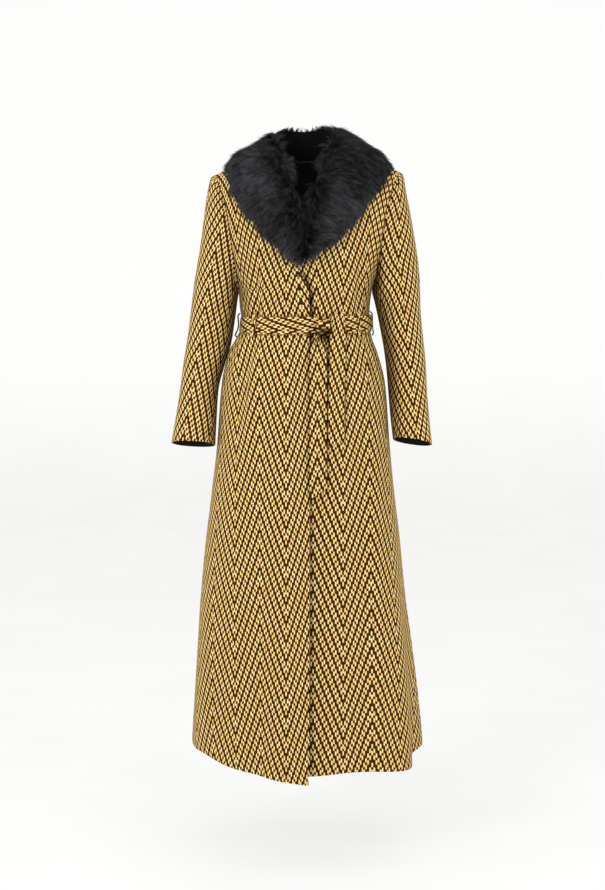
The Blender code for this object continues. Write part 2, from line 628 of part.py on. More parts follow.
def clear_of_body(point, clearance):
    """Moves a point out of the coat's chest, shoulders and back, to this clearance."""
    x, y, z = point
    face = -1 if y < 0 else 1
    centre = shoulder_z(x) - SHOULDER_ROUND

    def outside(scale):
        far_y = y * scale
        far_z = centre + (z - centre) * scale if z > centre else z
        length = math.hypot(far_y, max(far_z - centre, 0.0))
        pull = 1 - clearance / max(length, 1e-6)
        near_z = centre + (far_z - centre) * pull if far_z > centre else far_z
        if near_z >= shoulder_z(x):
            return True
        return abs(far_y) * pull >= body_depth(x, near_z, face)

    if outside(1.0):
        return np.array(point)
    low, high = 1.0, 1.1
    while not outside(high) and high < 12:
        high *= 1.15
    for _ in range(30):
        half = (low + high) / 2
        if outside(half):
            high = half
        else:
            low = half
    return np.array([x, y * high, centre + (z - centre) * high if z > centre else z])


def collar_sections():
    """The collar's sections, each a closed loop: along its underside and back over its rounded top."""
    rows = []
    for index, row in enumerate(COLLAR):
        inner_y = row.inner_y
        outer_y = row.outer_y
        if inner_y is ON_FRONT:
            inner_y = -body_depth(row.inner_x, row.inner_z, -1) - 0.006
        if outer_y is ON_FRONT:
            outer_y = -body_depth(row.outer_x, row.outer_z, -1) - 0.002
        rows.append(Numbered(index, *row._replace(inner_y=inner_y, outer_y=outer_y)))

    stations = []
    for i in range(COLLAR_STATIONS):
        where = (len(rows) - 1) * i / (COLLAR_STATIONS - 1)
        stations.append([smooth_value(rows, "index", name, where) for name in Fur._fields])
    stations = np.array(stations)
    inner = stations[:, 0:3]
    outer = stations[:, 3:6]
    along = unit(np.gradient((inner + outer) / 2, axis=0))

    loops = []
    for i in range(COLLAR_STATIONS):
        under = []
        top = []
        out = unit(np.cross(outer[i] - inner[i], along[i]))
        if out[2] < -0.2 or (out[1] > 0 and outer[i][1] < -0.03) or (out[1] < 0 and outer[i][1] > 0.05):
            out = -out
        for j in range(COLLAR_STEPS + 1):
            share = j / COLLAR_STEPS
            base = outer[i] + (inner[i] - outer[i]) * share
            base = clear_of_body(base, FUR_CLEAR + lap_margin(base))
            height = stations[i, 6] * (1 - abs(2 * share - 1) ** 2.6) ** (1 / 2.2)
            under.append(base)
            top.append(base + out * max(height, 0.0))
        loops.append(under + top[-2:0:-1])
    return loops


def lap_margin(point):
    """Extra room over the upper front's free edge, which stands out from the chest."""
    if point[1] > 0 or point[0] > 0.02:
        return 0.0
    edge = smooth_value(FRONT_EDGES, "z", "right", point[2])
    return lap_lift(point[0], point[2], edge)


def belt_lift(turn, z):
    """How far the belt must stand out to pass over the lapped fronts."""
    point = ring_point(turn, z)
    edge = smooth_value(FRONT_EDGES, "z", "right", z)
    if point[1] > 0:
        return 0.0
    if point[0] <= edge:
        return lap_lift(point[0], z, edge)
    return lap_lift(edge, z, edge) * ease(1 - (point[0] - edge) / 0.05)


def out_at(turn, z):
    """The level outward direction of the body at a turn."""
    half_width, middle, front, back = section(z)
    angle = math.radians(turn)
    power = 2 / SQUARENESS
    sine = signed_power(math.sin(angle), power)
    cosine = signed_power(math.cos(angle), power)
    return unit(np.array([sine / half_width, -cosine / (front if cosine > 0 else back), 0.0]))


def belt_turns():
    """The turns of the panels' own columns at the belt, all the way round."""
    right = turn_at(smooth_value(FRONT_EDGES, "z", "right", BELT_MIDDLE), BELT_MIDDLE)
    left = turn_at(smooth_value(FRONT_EDGES, "z", "left", BELT_MIDDLE), BELT_MIDDLE)
    over = [right + (-90 - right) * i / FRONT_COLUMNS for i in range(FRONT_COLUMNS + 1)]
    under = [left + (90 - left) * i / FRONT_COLUMNS for i in range(FRONT_COLUMNS + 1)]
    behind = [90 + 180 * i / BACK_COLUMNS for i in range(1, BACK_COLUMNS)]
    turns = over + [turn for turn in under if turn > right + 2]
    turns += [turn if turn <= 180 else turn - 360 for turn in behind]
    return sorted(turns)


def make_belt(collection):
    outer = []
    inner = []
    for z in (BELT_FOOT, BELT_MIDDLE, BELT_TOP):
        inner_row = []
        outer_row = []
        for turn in belt_turns():
            out = out_at(turn, z)
            base = ring_point(turn, z) + out * (belt_lift(turn, z) + REST_GAP)
            inner_row.append(base)
            outer_row.append(base + out * BELT_CLOTH)
        inner.append(inner_row)
        outer.append(outer_row)
    return cloth_wall("belt", np.array(outer), np.array(inner), True, WOOL, collection)


def front_face_y(x, z, over_belt=True):
    """The level of the front's cloth at x and z, or of the belt where it lies there."""
    turn = turn_at(x, z)
    lift = belt_lift(turn, z)
    if over_belt and BELT_FOOT - 0.006 < z < BELT_TOP + 0.006:
        lift += BELT_CLOTH + REST_GAP
    return ring_point(turn, z)[1] + lift / out_at(turn, z)[1]


def make_tail(name, strip, shares, collection):
    """A belt end that hangs down the front: a flat band with a slanted end."""
    outer = []
    inner = []
    for number, share in enumerate(shares):
        middle_x = strip.x_top + (strip.x_foot - strip.x_top) * share
        outer_row = []
        inner_row = []
        for across in (-1.0, -0.33, 0.33, 1.0):
            x = middle_x + across * strip.half_width
            z = strip.z_top + (strip.z_foot + across * strip.slant - strip.z_top) * share
            y = min(front_face_y(x + dx, z) for dx in (-0.004, 0.0, 0.004)) - REST_GAP - 0.0008
            if number == 0 and strip.z_top > BELT_TOP:
                y = front_face_y(x, z, over_belt=False) - 0.0015
                inner_row.append((x, y, z))
                outer_row.append((x, y, z + BELT_CLOTH))
                continue
            inner_row.append((x, y, z))
            outer_row.append((x, y - BELT_CLOTH, z))
        outer.append(outer_row)
        inner.append(inner_row)
    return cloth_wall(name, np.array(outer), np.array(inner), False, WOOL, collection)


def make_knot(collection):
    """A rounded block of wrapped belt in front of the band."""
    bm = bmesh.new()
    bmesh.ops.create_cube(bm, size=1.0)
    for vert in bm.verts:
        vert.co = [vert.co[i] * KNOT_SIZE[i] for i in range(3)]
    bmesh.ops.bevel(bm, geom=list(bm.edges), offset=0.0065, segments=3, affect="EDGES", clamp_overlap=True)
    angle = math.radians(KNOT_TURN)
    x, z = KNOT_MIDDLE
    face = min(front_face_y(x + dx, BELT_MIDDLE) for dx in (-0.012, 0.0, 0.012))
    y = face - REST_GAP - KNOT_SIZE[1] / 2 - 0.0008
    for vert in bm.verts:
        side, depth, up = vert.co
        vert.co = (x + side * math.cos(angle) - up * math.sin(angle), y + depth,
                   z + side * math.sin(angle) + up * math.cos(angle))
    return new_object("knot", bm, WOOL, collection)


def make_loop(name, turn, collection):
    """A belt loop: a narrow band from above the belt, over its face, to below it."""
    out = out_at(turn, BELT_MIDDLE)
    tangent = np.array([-out[1], out[0], 0.0])
    belt_face = BELT_CLOTH + 2 * REST_GAP + 0.0008
    half = ((LOOP_REACH, 0.0012), (0.0025, 0.0022), (0.0005, belt_face))
    steps = [(BELT_TOP + beyond, lift) for beyond, lift in half]
    steps.append((BELT_MIDDLE, belt_face + 0.0012))
    steps += [(BELT_FOOT - beyond, lift) for beyond, lift in reversed(half)]
    path = np.array([ring_point(turn, z) + out * (belt_lift(turn, z) + lift) for z, lift in steps])
    loops = []
    steps = unit(np.gradient(path, axis=0))
    for point, step in zip(path, steps):
        normal = unit(np.cross(tangent, step))
        if normal @ out < 0:
            normal = -normal
        corners = [point - tangent * LOOP_WIDTH / 2, point + tangent * LOOP_WIDTH / 2]
        corners += [corners[1] + normal * LOOP_CLOTH, corners[0] + normal * LOOP_CLOTH]
        loops.append(corners)
    return section_loft(name, loops, False, WOOL, collection)


def build_coat():
    for thing in list(bpy.data.objects):
        bpy.data.objects.remove(thing, do_unlink=True)
    collection = bpy.data.collections.new("Belted coat")
    bpy.context.scene.collection.children.link(collection)
    make_coat_cloth(collection)
    section_loft("collar", collar_sections(), False, FUR, collection)
    make_belt(collection)
    make_knot(collection)
    make_tail("tail_long", LONG_END, LONG_ROWS, collection)
    make_tail("tail_short", SHORT_END, SHORT_ROWS, collection)
    for name, turn in LOOP_TURNS.items():
        make_loop(name, turn, collection)


build_coat()
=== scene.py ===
import math
from collections import namedtuple

import bpy
import numpy as np
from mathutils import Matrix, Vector


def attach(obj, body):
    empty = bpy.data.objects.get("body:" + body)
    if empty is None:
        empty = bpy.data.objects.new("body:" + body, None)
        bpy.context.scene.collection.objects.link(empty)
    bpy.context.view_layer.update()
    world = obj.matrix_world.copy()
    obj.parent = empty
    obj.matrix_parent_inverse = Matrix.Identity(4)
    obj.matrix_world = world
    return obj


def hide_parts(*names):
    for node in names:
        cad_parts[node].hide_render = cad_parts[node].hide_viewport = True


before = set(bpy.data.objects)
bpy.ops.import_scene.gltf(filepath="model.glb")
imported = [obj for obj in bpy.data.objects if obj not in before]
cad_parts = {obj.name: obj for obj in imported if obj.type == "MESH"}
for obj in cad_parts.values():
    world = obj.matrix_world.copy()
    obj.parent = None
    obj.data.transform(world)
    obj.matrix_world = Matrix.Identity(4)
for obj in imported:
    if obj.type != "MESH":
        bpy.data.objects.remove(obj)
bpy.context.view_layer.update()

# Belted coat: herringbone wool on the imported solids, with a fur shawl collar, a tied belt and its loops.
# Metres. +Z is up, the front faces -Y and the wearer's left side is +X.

# Sizes of the coat

CLOTH = 0.003             # thickness of the coat's cloth
BELT_CLOTH = 0.004        # thickness of the belt, which is folded double
BELT_FLAT = 0.038         # its width
REST_GAP = 0.0004         # between a band and what it lies on
ARMPIT = -0.272           # heights are counted from the mount between the shoulders
BREAK_POINT = -0.222      # where the collar ends and the fronts lap
BELT_TOP = -0.328
BELT_MIDDLE = -0.3475
BELT_FOOT = -0.367
HEM_FROM = -1.020         # the rows below this share out the hem's own line
HEM = -1.330
SQUARENESS = 2.25         # power of the body's squared oval
SHOULDER_ROUND = 0.130    # the shoulders round over on this radius
SHOULDER_TILT = 0.020     # they rise by this for each metre to the wearer's left
CHEST_SHARE = 5 / 11      # of the way up from the armpit, where the shoulder starts to round over
NECK_SIDE = 0.075         # half the neck's width at the shoulder seams
NECK_SCOOP = 0.42         # share of the rounded part by which the back neck is cut down
LAP_COVER = 0.070         # the upper front stands out in full this far from its edge
LAP_WIDTH = 0.120         # and lies on the body again this far from it
CUFF_TILT = 0.011         # how much higher a cuff is in front than at its middle
SLEEVE_FAN = 5 / 12       # of the sleeve's rings turn from the armhole's line into the oval
SLEEVE_OVAL = 0.92        # power of a sleeve's oval
HEAD_DROP = 0.42          # how far a sleeve's head falls for each metre that it reaches out
FOLD_RISE = 2.5           # a fold is at full height after its length divided by this

# Level sections of the body: half width, middle, depth in front and behind.
Section = namedtuple("Section", "z half_width middle front back")
SECTIONS = (
    Section(0.060, 0.262, 0.000, 0.094, 0.098),
    Section(0.000, 0.236, 0.000, 0.098, 0.104),
    Section(-0.043, 0.216, 0.000, 0.101, 0.109),
    Section(-0.128, 0.196, 0.000, 0.110, 0.116),
    Section(-0.166, 0.186, -0.001, 0.116, 0.117),
    Section(-0.234, 0.162, -0.002, 0.121, 0.111),
    Section(-0.272, 0.149, -0.003, 0.119, 0.104),
    Section(-0.304, 0.146, -0.004, 0.113, 0.096),
    Section(-0.3475, 0.1432, -0.0018, 0.106, 0.090),
    Section(-0.375, 0.151, -0.005, 0.111, 0.098),
    Section(-0.410, 0.167, -0.008, 0.123, 0.113),
    Section(-0.482, 0.184, -0.007, 0.136, 0.132),
    Section(-0.619, 0.195, -0.007, 0.146, 0.146),
    Section(-0.728, 0.207, -0.008, 0.152, 0.154),
    Section(-0.839, 0.221, -0.008, 0.159, 0.162),
    Section(-0.966, 0.2345, -0.0065, 0.167, 0.171),
    Section(-1.085, 0.2470, -0.0020, 0.175, 0.180),
    Section(-1.228, 0.2605, 0.0020, 0.185, 0.191),
    Section(-1.360, 0.2705, 0.0040, 0.194, 0.200),
)

# Shoulder seam: its height by distance from the middle.
Seam = namedtuple("Seam", "reach z")
SHOULDER = (
    Seam(0.000, 0.049),
    Seam(0.075, 0.039),
    Seam(0.120, 0.023),
    Seam(0.170, 0.003),
    Seam(0.210, -0.014),
)

# Armhole: distance of its edge from the middle.
Hole = namedtuple("Hole", "z reach")
ARMHOLE = (
    Hole(0.010, 0.208),
    Hole(-0.012, 0.203),
    Hole(-0.050, 0.189),
    Hole(-0.098, 0.177),
    Hole(-0.166, 0.167),
    Hole(-0.234, 0.156),
    Hole(-0.272, 0.149),
)

# Front edges: the right front laps over, the left one runs on beneath it.
Edge = namedtuple("Edge", "z right left")
FRONT_EDGES = (
    Edge(0.045, -0.075, 0.075),
    Edge(0.000, -0.068, 0.062),
    Edge(-0.100, -0.050, 0.026),
    Edge(-0.170, -0.041, -0.006),
    Edge(-0.205, -0.034, -0.026),
    Edge(-0.222, -0.024, -0.034),
    Edge(-0.245, -0.007, -0.044),
    Edge(-0.262, 0.001, -0.050),
    Edge(-0.290, 0.0060, -0.056),
    Edge(-0.370, 0.0066, -0.060),
    Edge(-0.900, 0.0070, -0.060),
    Edge(-1.200, 0.0048, -0.060),
    Edge(-1.400, 0.0030, -0.060),
)

# The upper front stands this far out over the lower one.
Lap = namedtuple("Lap", "z lift")
LAP = (
    Lap(-0.180, 0.0042),
    Lap(-0.350, 0.0042),
    Lap(-0.700, 0.0060),
    Lap(-1.350, 0.0160),
)

# Hem line, by turn from the middle of the front in degrees.
Hem = namedtuple("Hem", "turn right left")
HEM_LINE = (
    Hem(0, -1.3475, -1.3330),
    Hem(20, -1.3333, -1.3260),
    Hem(40, -1.3210, -1.3305),
    Hem(60, -1.3010, -1.3330),
    Hem(75, -1.2985, -1.3200),
    Hem(90, -1.2975, -1.3120),
    Hem(120, -1.3010, -1.3100),
    Hem(180, -1.3140, -1.3140),
)

# Soft folds of the cloth: where they run, how far they stand out, and how wide they are.
Fold = namedtuple("Fold", "turn_top turn_foot z_top z_foot height width")
FOLDS = (
    Fold(60, 41, -0.80, -1.60, 0.028, 13),
    Fold(82, 66, -0.75, -1.60, -0.034, 12),
    Fold(-31, -37, -0.34, -0.66, 0.0065, 6),
    Fold(-44, -50, -0.34, -0.62, -0.0045, 6),
    Fold(-66, -60, -0.70, -1.60, 0.012, 14),
    Fold(40, 43, -0.34, -0.60, 0.005, 6),
    Fold(62, 58, -0.34, -0.56, -0.004, 7),
    Fold(130, 126, -0.60, -1.60, 0.022, 16),
    Fold(180, 180, -0.60, -1.60, -0.012, 18),
    Fold(-132, -128, -0.60, -1.60, 0.020, 16),
    Fold(158, 150, -0.34, -0.62, 0.005, 8),
    Fold(-156, -150, -0.34, -0.62, 0.005, 8),
)

# Sleeves: the outer and the inner line of each in front view, half depth and middle from front to back.
Ring = namedtuple("Ring", "outer_x outer_z inner_x inner_z half_depth middle")
SLEEVE_RIGHT = (
    Ring(0.2030, -0.012, 0.1520, -0.272, 0.060, 0.002),
    Ring(0.2115, -0.021, 0.1526, -0.275, 0.061, 0.002),
    Ring(0.2165, -0.041, 0.1533, -0.279, 0.062, 0.002),
    Ring(0.2230, -0.080, 0.1542, -0.284, 0.063, 0.003),
    Ring(0.2312, -0.130, 0.1552, -0.291, 0.063, 0.004),
    Ring(0.2405, -0.185, 0.1565, -0.301, 0.062, 0.006),
    Ring(0.2520, -0.250, 0.1590, -0.320, 0.060, 0.008),
    Ring(0.2600, -0.310, 0.1635, -0.350, 0.058, 0.009),
    Ring(0.2680, -0.372, 0.1705, -0.392, 0.056, 0.007),
    Ring(0.2780, -0.435, 0.1850, -0.440, 0.053, 0.001),
    Ring(0.2855, -0.496, 0.1990, -0.497, 0.050, -0.008),
    Ring(0.2945, -0.555, 0.2025, -0.556, 0.048, -0.018),
    Ring(0.3040, -0.613, 0.2055, -0.618, 0.047, -0.028),
)
SLEEVE_LEFT = (
    Ring(0.2030, -0.008, 0.1460, -0.272, 0.060, 0.002),
    Ring(0.2115, -0.015, 0.1470, -0.275, 0.061, 0.002),
    Ring(0.2160, -0.034, 0.1482, -0.279, 0.062, 0.002),
    Ring(0.2225, -0.074, 0.1500, -0.285, 0.063, 0.003),
    Ring(0.2355, -0.128, 0.1520, -0.293, 0.063, 0.004),
    Ring(0.2475, -0.185, 0.1550, -0.305, 0.062, 0.006),
    Ring(0.2550, -0.250, 0.1600, -0.326, 0.060, 0.008),
    Ring(0.2575, -0.318, 0.1665, -0.358, 0.058, 0.009),
    Ring(0.2640, -0.382, 0.1740, -0.398, 0.056, 0.007),
    Ring(0.2695, -0.440, 0.1800, -0.444, 0.053, 0.001),
    Ring(0.2720, -0.498, 0.1845, -0.498, 0.050, -0.008),
    Ring(0.2762, -0.555, 0.1890, -0.554, 0.048, -0.018),
    Ring(0.2825, -0.617, 0.1945, -0.604, 0.047, -0.028),
)

# Fur collar, from the right break point round the neck to the left one: its inner and outer edge and its
# thickness.
Fur = namedtuple("Fur", "inner_x inner_y inner_z outer_x outer_y outer_z thickness")
ON_FRONT = None           # in a y column: the edge lies on the coat's front
COLLAR = (
    Fur(-0.0040, ON_FRONT, -0.205, -0.0200, ON_FRONT, -0.2180, 0.017),
    Fur(-0.0070, ON_FRONT, -0.170, -0.0520, ON_FRONT, -0.204, 0.026),
    Fur(-0.0100, ON_FRONT, -0.128, -0.0890, ON_FRONT, -0.167, 0.030),
    Fur(-0.0165, ON_FRONT, -0.084, -0.1215, ON_FRONT, -0.129, 0.032),
    Fur(-0.0280, ON_FRONT, -0.038, -0.1500, ON_FRONT, -0.089, 0.033),
    Fur(-0.0430, -0.078, 0.010, -0.1710, ON_FRONT, -0.050, 0.031),
    Fur(-0.0560, -0.045, 0.050, -0.1765, -0.022, -0.010, 0.026),
    Fur(-0.0640, -0.002, 0.073, -0.1760, 0.030, -0.005, 0.017),
    Fur(-0.0570, 0.040, 0.083, -0.1540, 0.078, -0.015, 0.021),
    Fur(-0.0350, 0.066, 0.094, -0.0950, 0.112, -0.034, 0.029),
    Fur(-0.0030, 0.076, 0.094, 0.0030, 0.124, -0.044, 0.029),
    Fur(0.0290, 0.066, 0.098, 0.1010, 0.112, -0.030, 0.029),
    Fur(0.0490, 0.040, 0.095, 0.1660, 0.078, -0.008, 0.025),
    Fur(0.0540, -0.002, 0.084, 0.1890, 0.028, 0.002, 0.020),
    Fur(0.0460, -0.045, 0.054, 0.1860, -0.024, -0.003, 0.029),
    Fur(0.0310, -0.078, 0.010, 0.1690, ON_FRONT, -0.040, 0.031),
    Fur(0.0150, ON_FRONT, -0.038, 0.1450, ON_FRONT, -0.070, 0.031),
    Fur(0.0020, ON_FRONT, -0.084, 0.1190, ON_FRONT, -0.114, 0.030),
    Fur(-0.0055, ON_FRONT, -0.128, 0.0840, ON_FRONT, -0.149, 0.028),
    Fur(-0.0035, ON_FRONT, -0.168, 0.0490, ON_FRONT, -0.184, 0.024),
    Fur(-0.0010, ON_FRONT, -0.198, 0.0170, ON_FRONT, -0.206, 0.017),
)
FUR_CLEAR = 0.0030        # between the pelt and the coat under it

# Belt ends, as hung: the middle line and half width down the front, and the cut ends' slant.
Strip = namedtuple("Strip", "x_top x_foot half_width z_top z_foot slant")
LONG_END = Strip(x_top=0.0250, x_foot=0.0258, half_width=0.0190, z_top=-0.378, z_foot=-0.712, slant=0.012)
SHORT_END = Strip(x_top=0.0695, x_foot=0.0640, half_width=0.0185, z_top=-0.3235, z_foot=-0.604, slant=0.009)
KNOT_MIDDLE = (0.0385, -0.3560)

# Belt loops, by turn from the middle of the front. One on the wearer's left is pressed closer.
Loop = namedtuple("Loop", "turn stands thickness shade")
LOOPS = {
    "loop_front_right": Loop(turn=-47.0, stands=1.00, thickness=0.0022, shade=0.0),
    "loop_front_left": Loop(turn=50.0, stands=1.00, thickness=0.0022, shade=0.0),
    "loop_side_right": Loop(turn=-86.0, stands=1.00, thickness=0.0030, shade=0.95),
    "loop_side_left": Loop(turn=86.0, stands=0.80, thickness=0.0030, shade=0.4),
}
LOOP_PATH = (             # height, and how far the strip stands out from the coat
    (BELT_TOP + 0.0075, 0.0010),
    (BELT_TOP + 0.0050, 0.0022),
    (BELT_TOP + 0.0020, 0.0058),
    (BELT_TOP - 0.0040, 0.0064),
    (BELT_MIDDLE, 0.0068),
    (BELT_FOOT + 0.0040, 0.0064),
    (BELT_FOOT - 0.0020, 0.0058),
    (BELT_FOOT - 0.0050, 0.0022),
    (BELT_FOOT - 0.0075, 0.0010),
)

# Small gathers that the belt draws into the cloth, above and below it.
GATHERS = (
    Fold(-26, -24, -0.350, -0.470, 0.0020, 2.4),
    Fold(-38, -42, -0.350, -0.560, -0.0026, 2.6),
    Fold(-57, -60, -0.350, -0.500, 0.0022, 3.0),
    Fold(-70, -72, -0.350, -0.470, -0.0020, 3.0),
    Fold(27, 30, -0.350, -0.480, 0.0018, 2.4),
    Fold(33, 37, -0.350, -0.520, -0.0022, 2.4),
    Fold(52, 57, -0.350, -0.500, 0.0026, 2.8),
    Fold(70, 73, -0.350, -0.480, -0.0020, 3.0),
    Fold(105, 103, -0.350, -0.500, 0.0026, 3.0),
    Fold(118, 116, -0.350, -0.540, -0.0028, 3.4),
    Fold(138, 134, -0.350, -0.520, 0.0026, 3.0),
    Fold(170, 168, -0.350, -0.500, -0.0024, 3.2),
    Fold(182, 183, -0.350, -0.530, 0.0026, 3.0),
    Fold(-168, -166, -0.350, -0.510, -0.0022, 3.0),
    Fold(-140, -136, -0.350, -0.540, -0.0026, 3.2),
    Fold(-121, -118, -0.350, -0.500, 0.0028, 3.0),
    Fold(-103, -102, -0.350, -0.480, -0.0022, 3.0),
)

# Creases in the front view (face -1) and the back view (face 1): from one point to another, how far
# they stand out, and their width.
Crease = namedtuple("Crease", "x_from z_from x_to z_to height width face")
BODY_CREASES = (
    Crease(-0.113, -0.215, -0.106, -0.335, -0.0030, 0.0050, -1),
    Crease(-0.094, -0.225, -0.092, -0.335, 0.0026, 0.0080, -1),
    Crease(-0.128, -0.240, -0.122, -0.330, 0.0022, 0.0070, -1),
    Crease(-0.058, -0.285, -0.062, -0.335, 0.0016, 0.0060, -1),
    Crease(-0.030, -0.290, -0.034, -0.335, -0.0014, 0.0050, -1),
    Crease(0.050, -0.290, 0.056, -0.335, -0.0015, 0.0050, -1),
    Crease(0.100, -0.220, 0.094, -0.335, 0.0024, 0.0080, -1),
    Crease(0.118, -0.215, 0.112, -0.330, -0.0026, 0.0060, -1),
    Crease(0.139, -0.235, 0.128, -0.320, 0.0020, 0.0070, -1),
    Crease(-0.150, -0.150, -0.128, -0.215, -0.0022, 0.0100, -1),
    Crease(0.152, -0.140, 0.130, -0.210, -0.0022, 0.0100, -1),
    Crease(-0.022, -0.222, -0.008, -0.262, 0.0034, 0.0045, -1),
    Crease(-0.010, -0.226, 0.000, -0.262, -0.0030, 0.0035, -1),
    Crease(0.008, -0.2200, 0.034, -0.2050, 0.0050, 0.0050, -1),
    Crease(0.014, -0.2290, 0.040, -0.2150, -0.0024, 0.0040, -1),
    Crease(-0.110, -0.200, -0.100, -0.335, 0.0030, 0.0090, 1),
    Crease(-0.070, -0.240, -0.064, -0.335, -0.0024, 0.0070, 1),
    Crease(-0.026, -0.220, -0.022, -0.335, 0.0022, 0.0070, 1),
    Crease(0.024, -0.250, 0.022, -0.335, -0.0022, 0.0070, 1),
    Crease(0.066, -0.215, 0.062, -0.335, 0.0026, 0.0080, 1),
    Crease(0.112, -0.230, 0.104, -0.335, -0.0026, 0.0080, 1),
)
SLEEVE_CREASES = (
    Crease(-0.176, -0.245, -0.214, -0.330, 0.0026, 0.0110, -1),
    Crease(-0.182, -0.300, -0.222, -0.352, -0.0030, 0.0090, -1),
    Crease(-0.188, -0.352, -0.236, -0.376, 0.0030, 0.0100, -1),
    Crease(-0.196, -0.402, -0.240, -0.398, -0.0026, 0.0090, -1),
    Crease(-0.215, -0.440, -0.262, -0.418, 0.0022, 0.0100, -1),
    Crease(-0.200, -0.115, -0.190, -0.200, -0.0026, 0.0100, -1),
    Crease(-0.218, -0.520, -0.262, -0.500, -0.0016, 0.0090, -1),
    Crease(0.172, -0.250, 0.212, -0.330, 0.0026, 0.0110, -1),
    Crease(0.180, -0.310, 0.222, -0.355, -0.0030, 0.0090, -1),
    Crease(0.188, -0.362, 0.232, -0.384, 0.0028, 0.0100, -1),
    Crease(0.194, -0.410, 0.240, -0.410, -0.0024, 0.0090, -1),
    Crease(0.202, -0.455, 0.250, -0.432, 0.0020, 0.0100, -1),
    Crease(0.196, -0.110, 0.188, -0.195, -0.0026, 0.0100, -1),
    Crease(0.200, -0.530, 0.244, -0.512, -0.0016, 0.0090, -1),
    Crease(-0.190, -0.240, -0.224, -0.320, -0.0026, 0.0110, 1),
    Crease(-0.196, -0.330, -0.250, -0.372, 0.0030, 0.0110, 1),
    Crease(-0.206, -0.400, -0.258, -0.408, -0.0026, 0.0100, 1),
    Crease(0.186, -0.240, 0.220, -0.320, -0.0026, 0.0110, 1),
    Crease(0.192, -0.335, 0.246, -0.380, 0.0030, 0.0110, 1),
    Crease(0.202, -0.405, 0.252, -0.420, -0.0026, 0.0100, 1),
)

# Weave

YARN = 0.0038             # width of one yarn column
REPEAT = 0.0412           # length of one repeat along a column
BAND = 16                 # columns between two turns of the herringbone
SAG = 2.2                 # the skirt's weft bows down to the sides on this radius
SLANT = 0.12              # how far the ends of a float lean with the twill line
FLOATS = (0.142, 0.510)   # middles of a repeat's two floats, as shares of it
FLOAT_HALF = 0.145        # half of a float
DOT = 0.326               # the dark dot between the two
DOT_HALF = 0.065


def smooth(rows, key, column, where):
    """A column's value at a key, on a smooth curve through the rows that doesn't overshoot them."""
    keys = np.array([getattr(row, key) for row in rows], float)
    values = np.array([getattr(row, column) for row in rows], float)
    if keys[0] > keys[-1]:
        keys = keys[::-1]
        values = values[::-1]
    where = np.clip(where, keys[0], keys[-1])
    steps = np.diff(keys)
    rises = np.diff(values) / steps
    slopes = np.concatenate(([rises[0]], np.zeros(len(rises) - 1), [rises[-1]]))
    for i in range(1, len(rises)):
        if rises[i - 1] * rises[i] > 0:
            slopes[i] = 2 * rises[i - 1] * rises[i] / (rises[i - 1] + rises[i])
    i = np.minimum(np.searchsorted(keys, where, side="right") - 1, len(rises) - 1)
    t = (where - keys[i]) / steps[i]
    start = values[i] * (1 + 2 * t) * (1 - t) ** 2 + slopes[i] * steps[i] * t * (1 - t) ** 2
    end = values[i + 1] * t * t * (3 - 2 * t) + slopes[i + 1] * steps[i] * t * t * (t - 1)
    return start + end


def numbered(rows):
    """A table's rows with their number as one more column, "at"."""
    numbered_row = namedtuple("NumberedRow", ("at", *rows[0]._fields))
    return [numbered_row(at, *row) for at, row in enumerate(rows)]


def ease(share):
    """0 to 1, slow at both ends."""
    share = np.clip(share, 0.0, 1.0)
    return share * share * (3 - 2 * share)


def power_of(value, power):
    """A power that keeps the sign."""
    return np.sign(value) * np.abs(value) ** power


def unit(vectors):
    return vectors / np.maximum(np.linalg.norm(vectors, axis=-1, keepdims=True), 1e-12)


def section(z):
    """Half width, middle, front depth and back depth of the body at a height."""
    return tuple(smooth(SECTIONS, "z", name, z) for name in ("half_width", "middle", "front", "back"))


def shoulder_z(x):
    return smooth(SHOULDER, "reach", "z", np.abs(x)) + SHOULDER_TILT * x


def body_depth(x, z, face):
    """How far the coat's surface lies from the side plane at x and z. Face is -1 in front, 1 behind."""
    round_from = shoulder_z(x) - SHOULDER_ROUND
    half_width, middle = section(z)[:2]
    depth = section(np.minimum(z, round_from))[2 if face < 0 else 3]
    across = np.minimum(np.abs(x - middle) / half_width, 1.0)
    depth = depth * (1 - across ** SQUARENESS) ** (1 / SQUARENESS)
    over = np.clip((z - round_from) / SHOULDER_ROUND, 0.0, 1.0)
    return depth * np.sqrt(1 - over ** 2)


def fold_height(table, turn, z):
    """How far a table's folds move the cloth out at a turn, in degrees, and a height."""
    height = 0.0
    for fold in table:
        share = np.clip((fold.z_top - z) / (fold.z_top - fold.z_foot), 0.0, 1.0)
        off = (turn - fold.turn_top - (fold.turn_foot - fold.turn_top) * share + 180) % 360 - 180
        strength = ease(FOLD_RISE * share)
        strength = strength * (ease(FOLD_RISE * (1 - share)) if fold.z_foot > HEM else share)
        height = height + fold.height * strength * np.exp(-(off / fold.width) ** 2)
    return height


def oval_at(turn, z):
    """Half width, middle and depth of the body at a turn and a height, and the turn's sine and cosine.

    The turn is in degrees, from the front's middle to the wearer's left.
    """
    half_width, middle, front, back = section(z)
    angle = np.radians(turn)
    sine = power_of(np.sin(angle), 2 / SQUARENESS)
    cosine = power_of(np.cos(angle), 2 / SQUARENESS)
    return half_width, middle, np.where(cosine > 0, front, back), sine, cosine


def out_at(turn, z):
    """The level outward direction of the body at a turn."""
    half_width, _, depth, sine, cosine = oval_at(turn, z)
    return unit(np.stack([sine / half_width, -cosine / depth, 0 * sine], axis=-1))


def ring_point(turn, z, gathered=True):
    """A point of the body below the armpits."""
    half_width, middle, depth, sine, cosine = oval_at(turn, z)
    point = np.stack([middle + half_width * sine, -depth * cosine, z + 0 * sine], axis=-1)
    height = fold_height(FOLDS, turn, z)
    if gathered:
        height = height + fold_height(GATHERS, turn, z)
    return point + out_at(turn, z) * height[..., None]


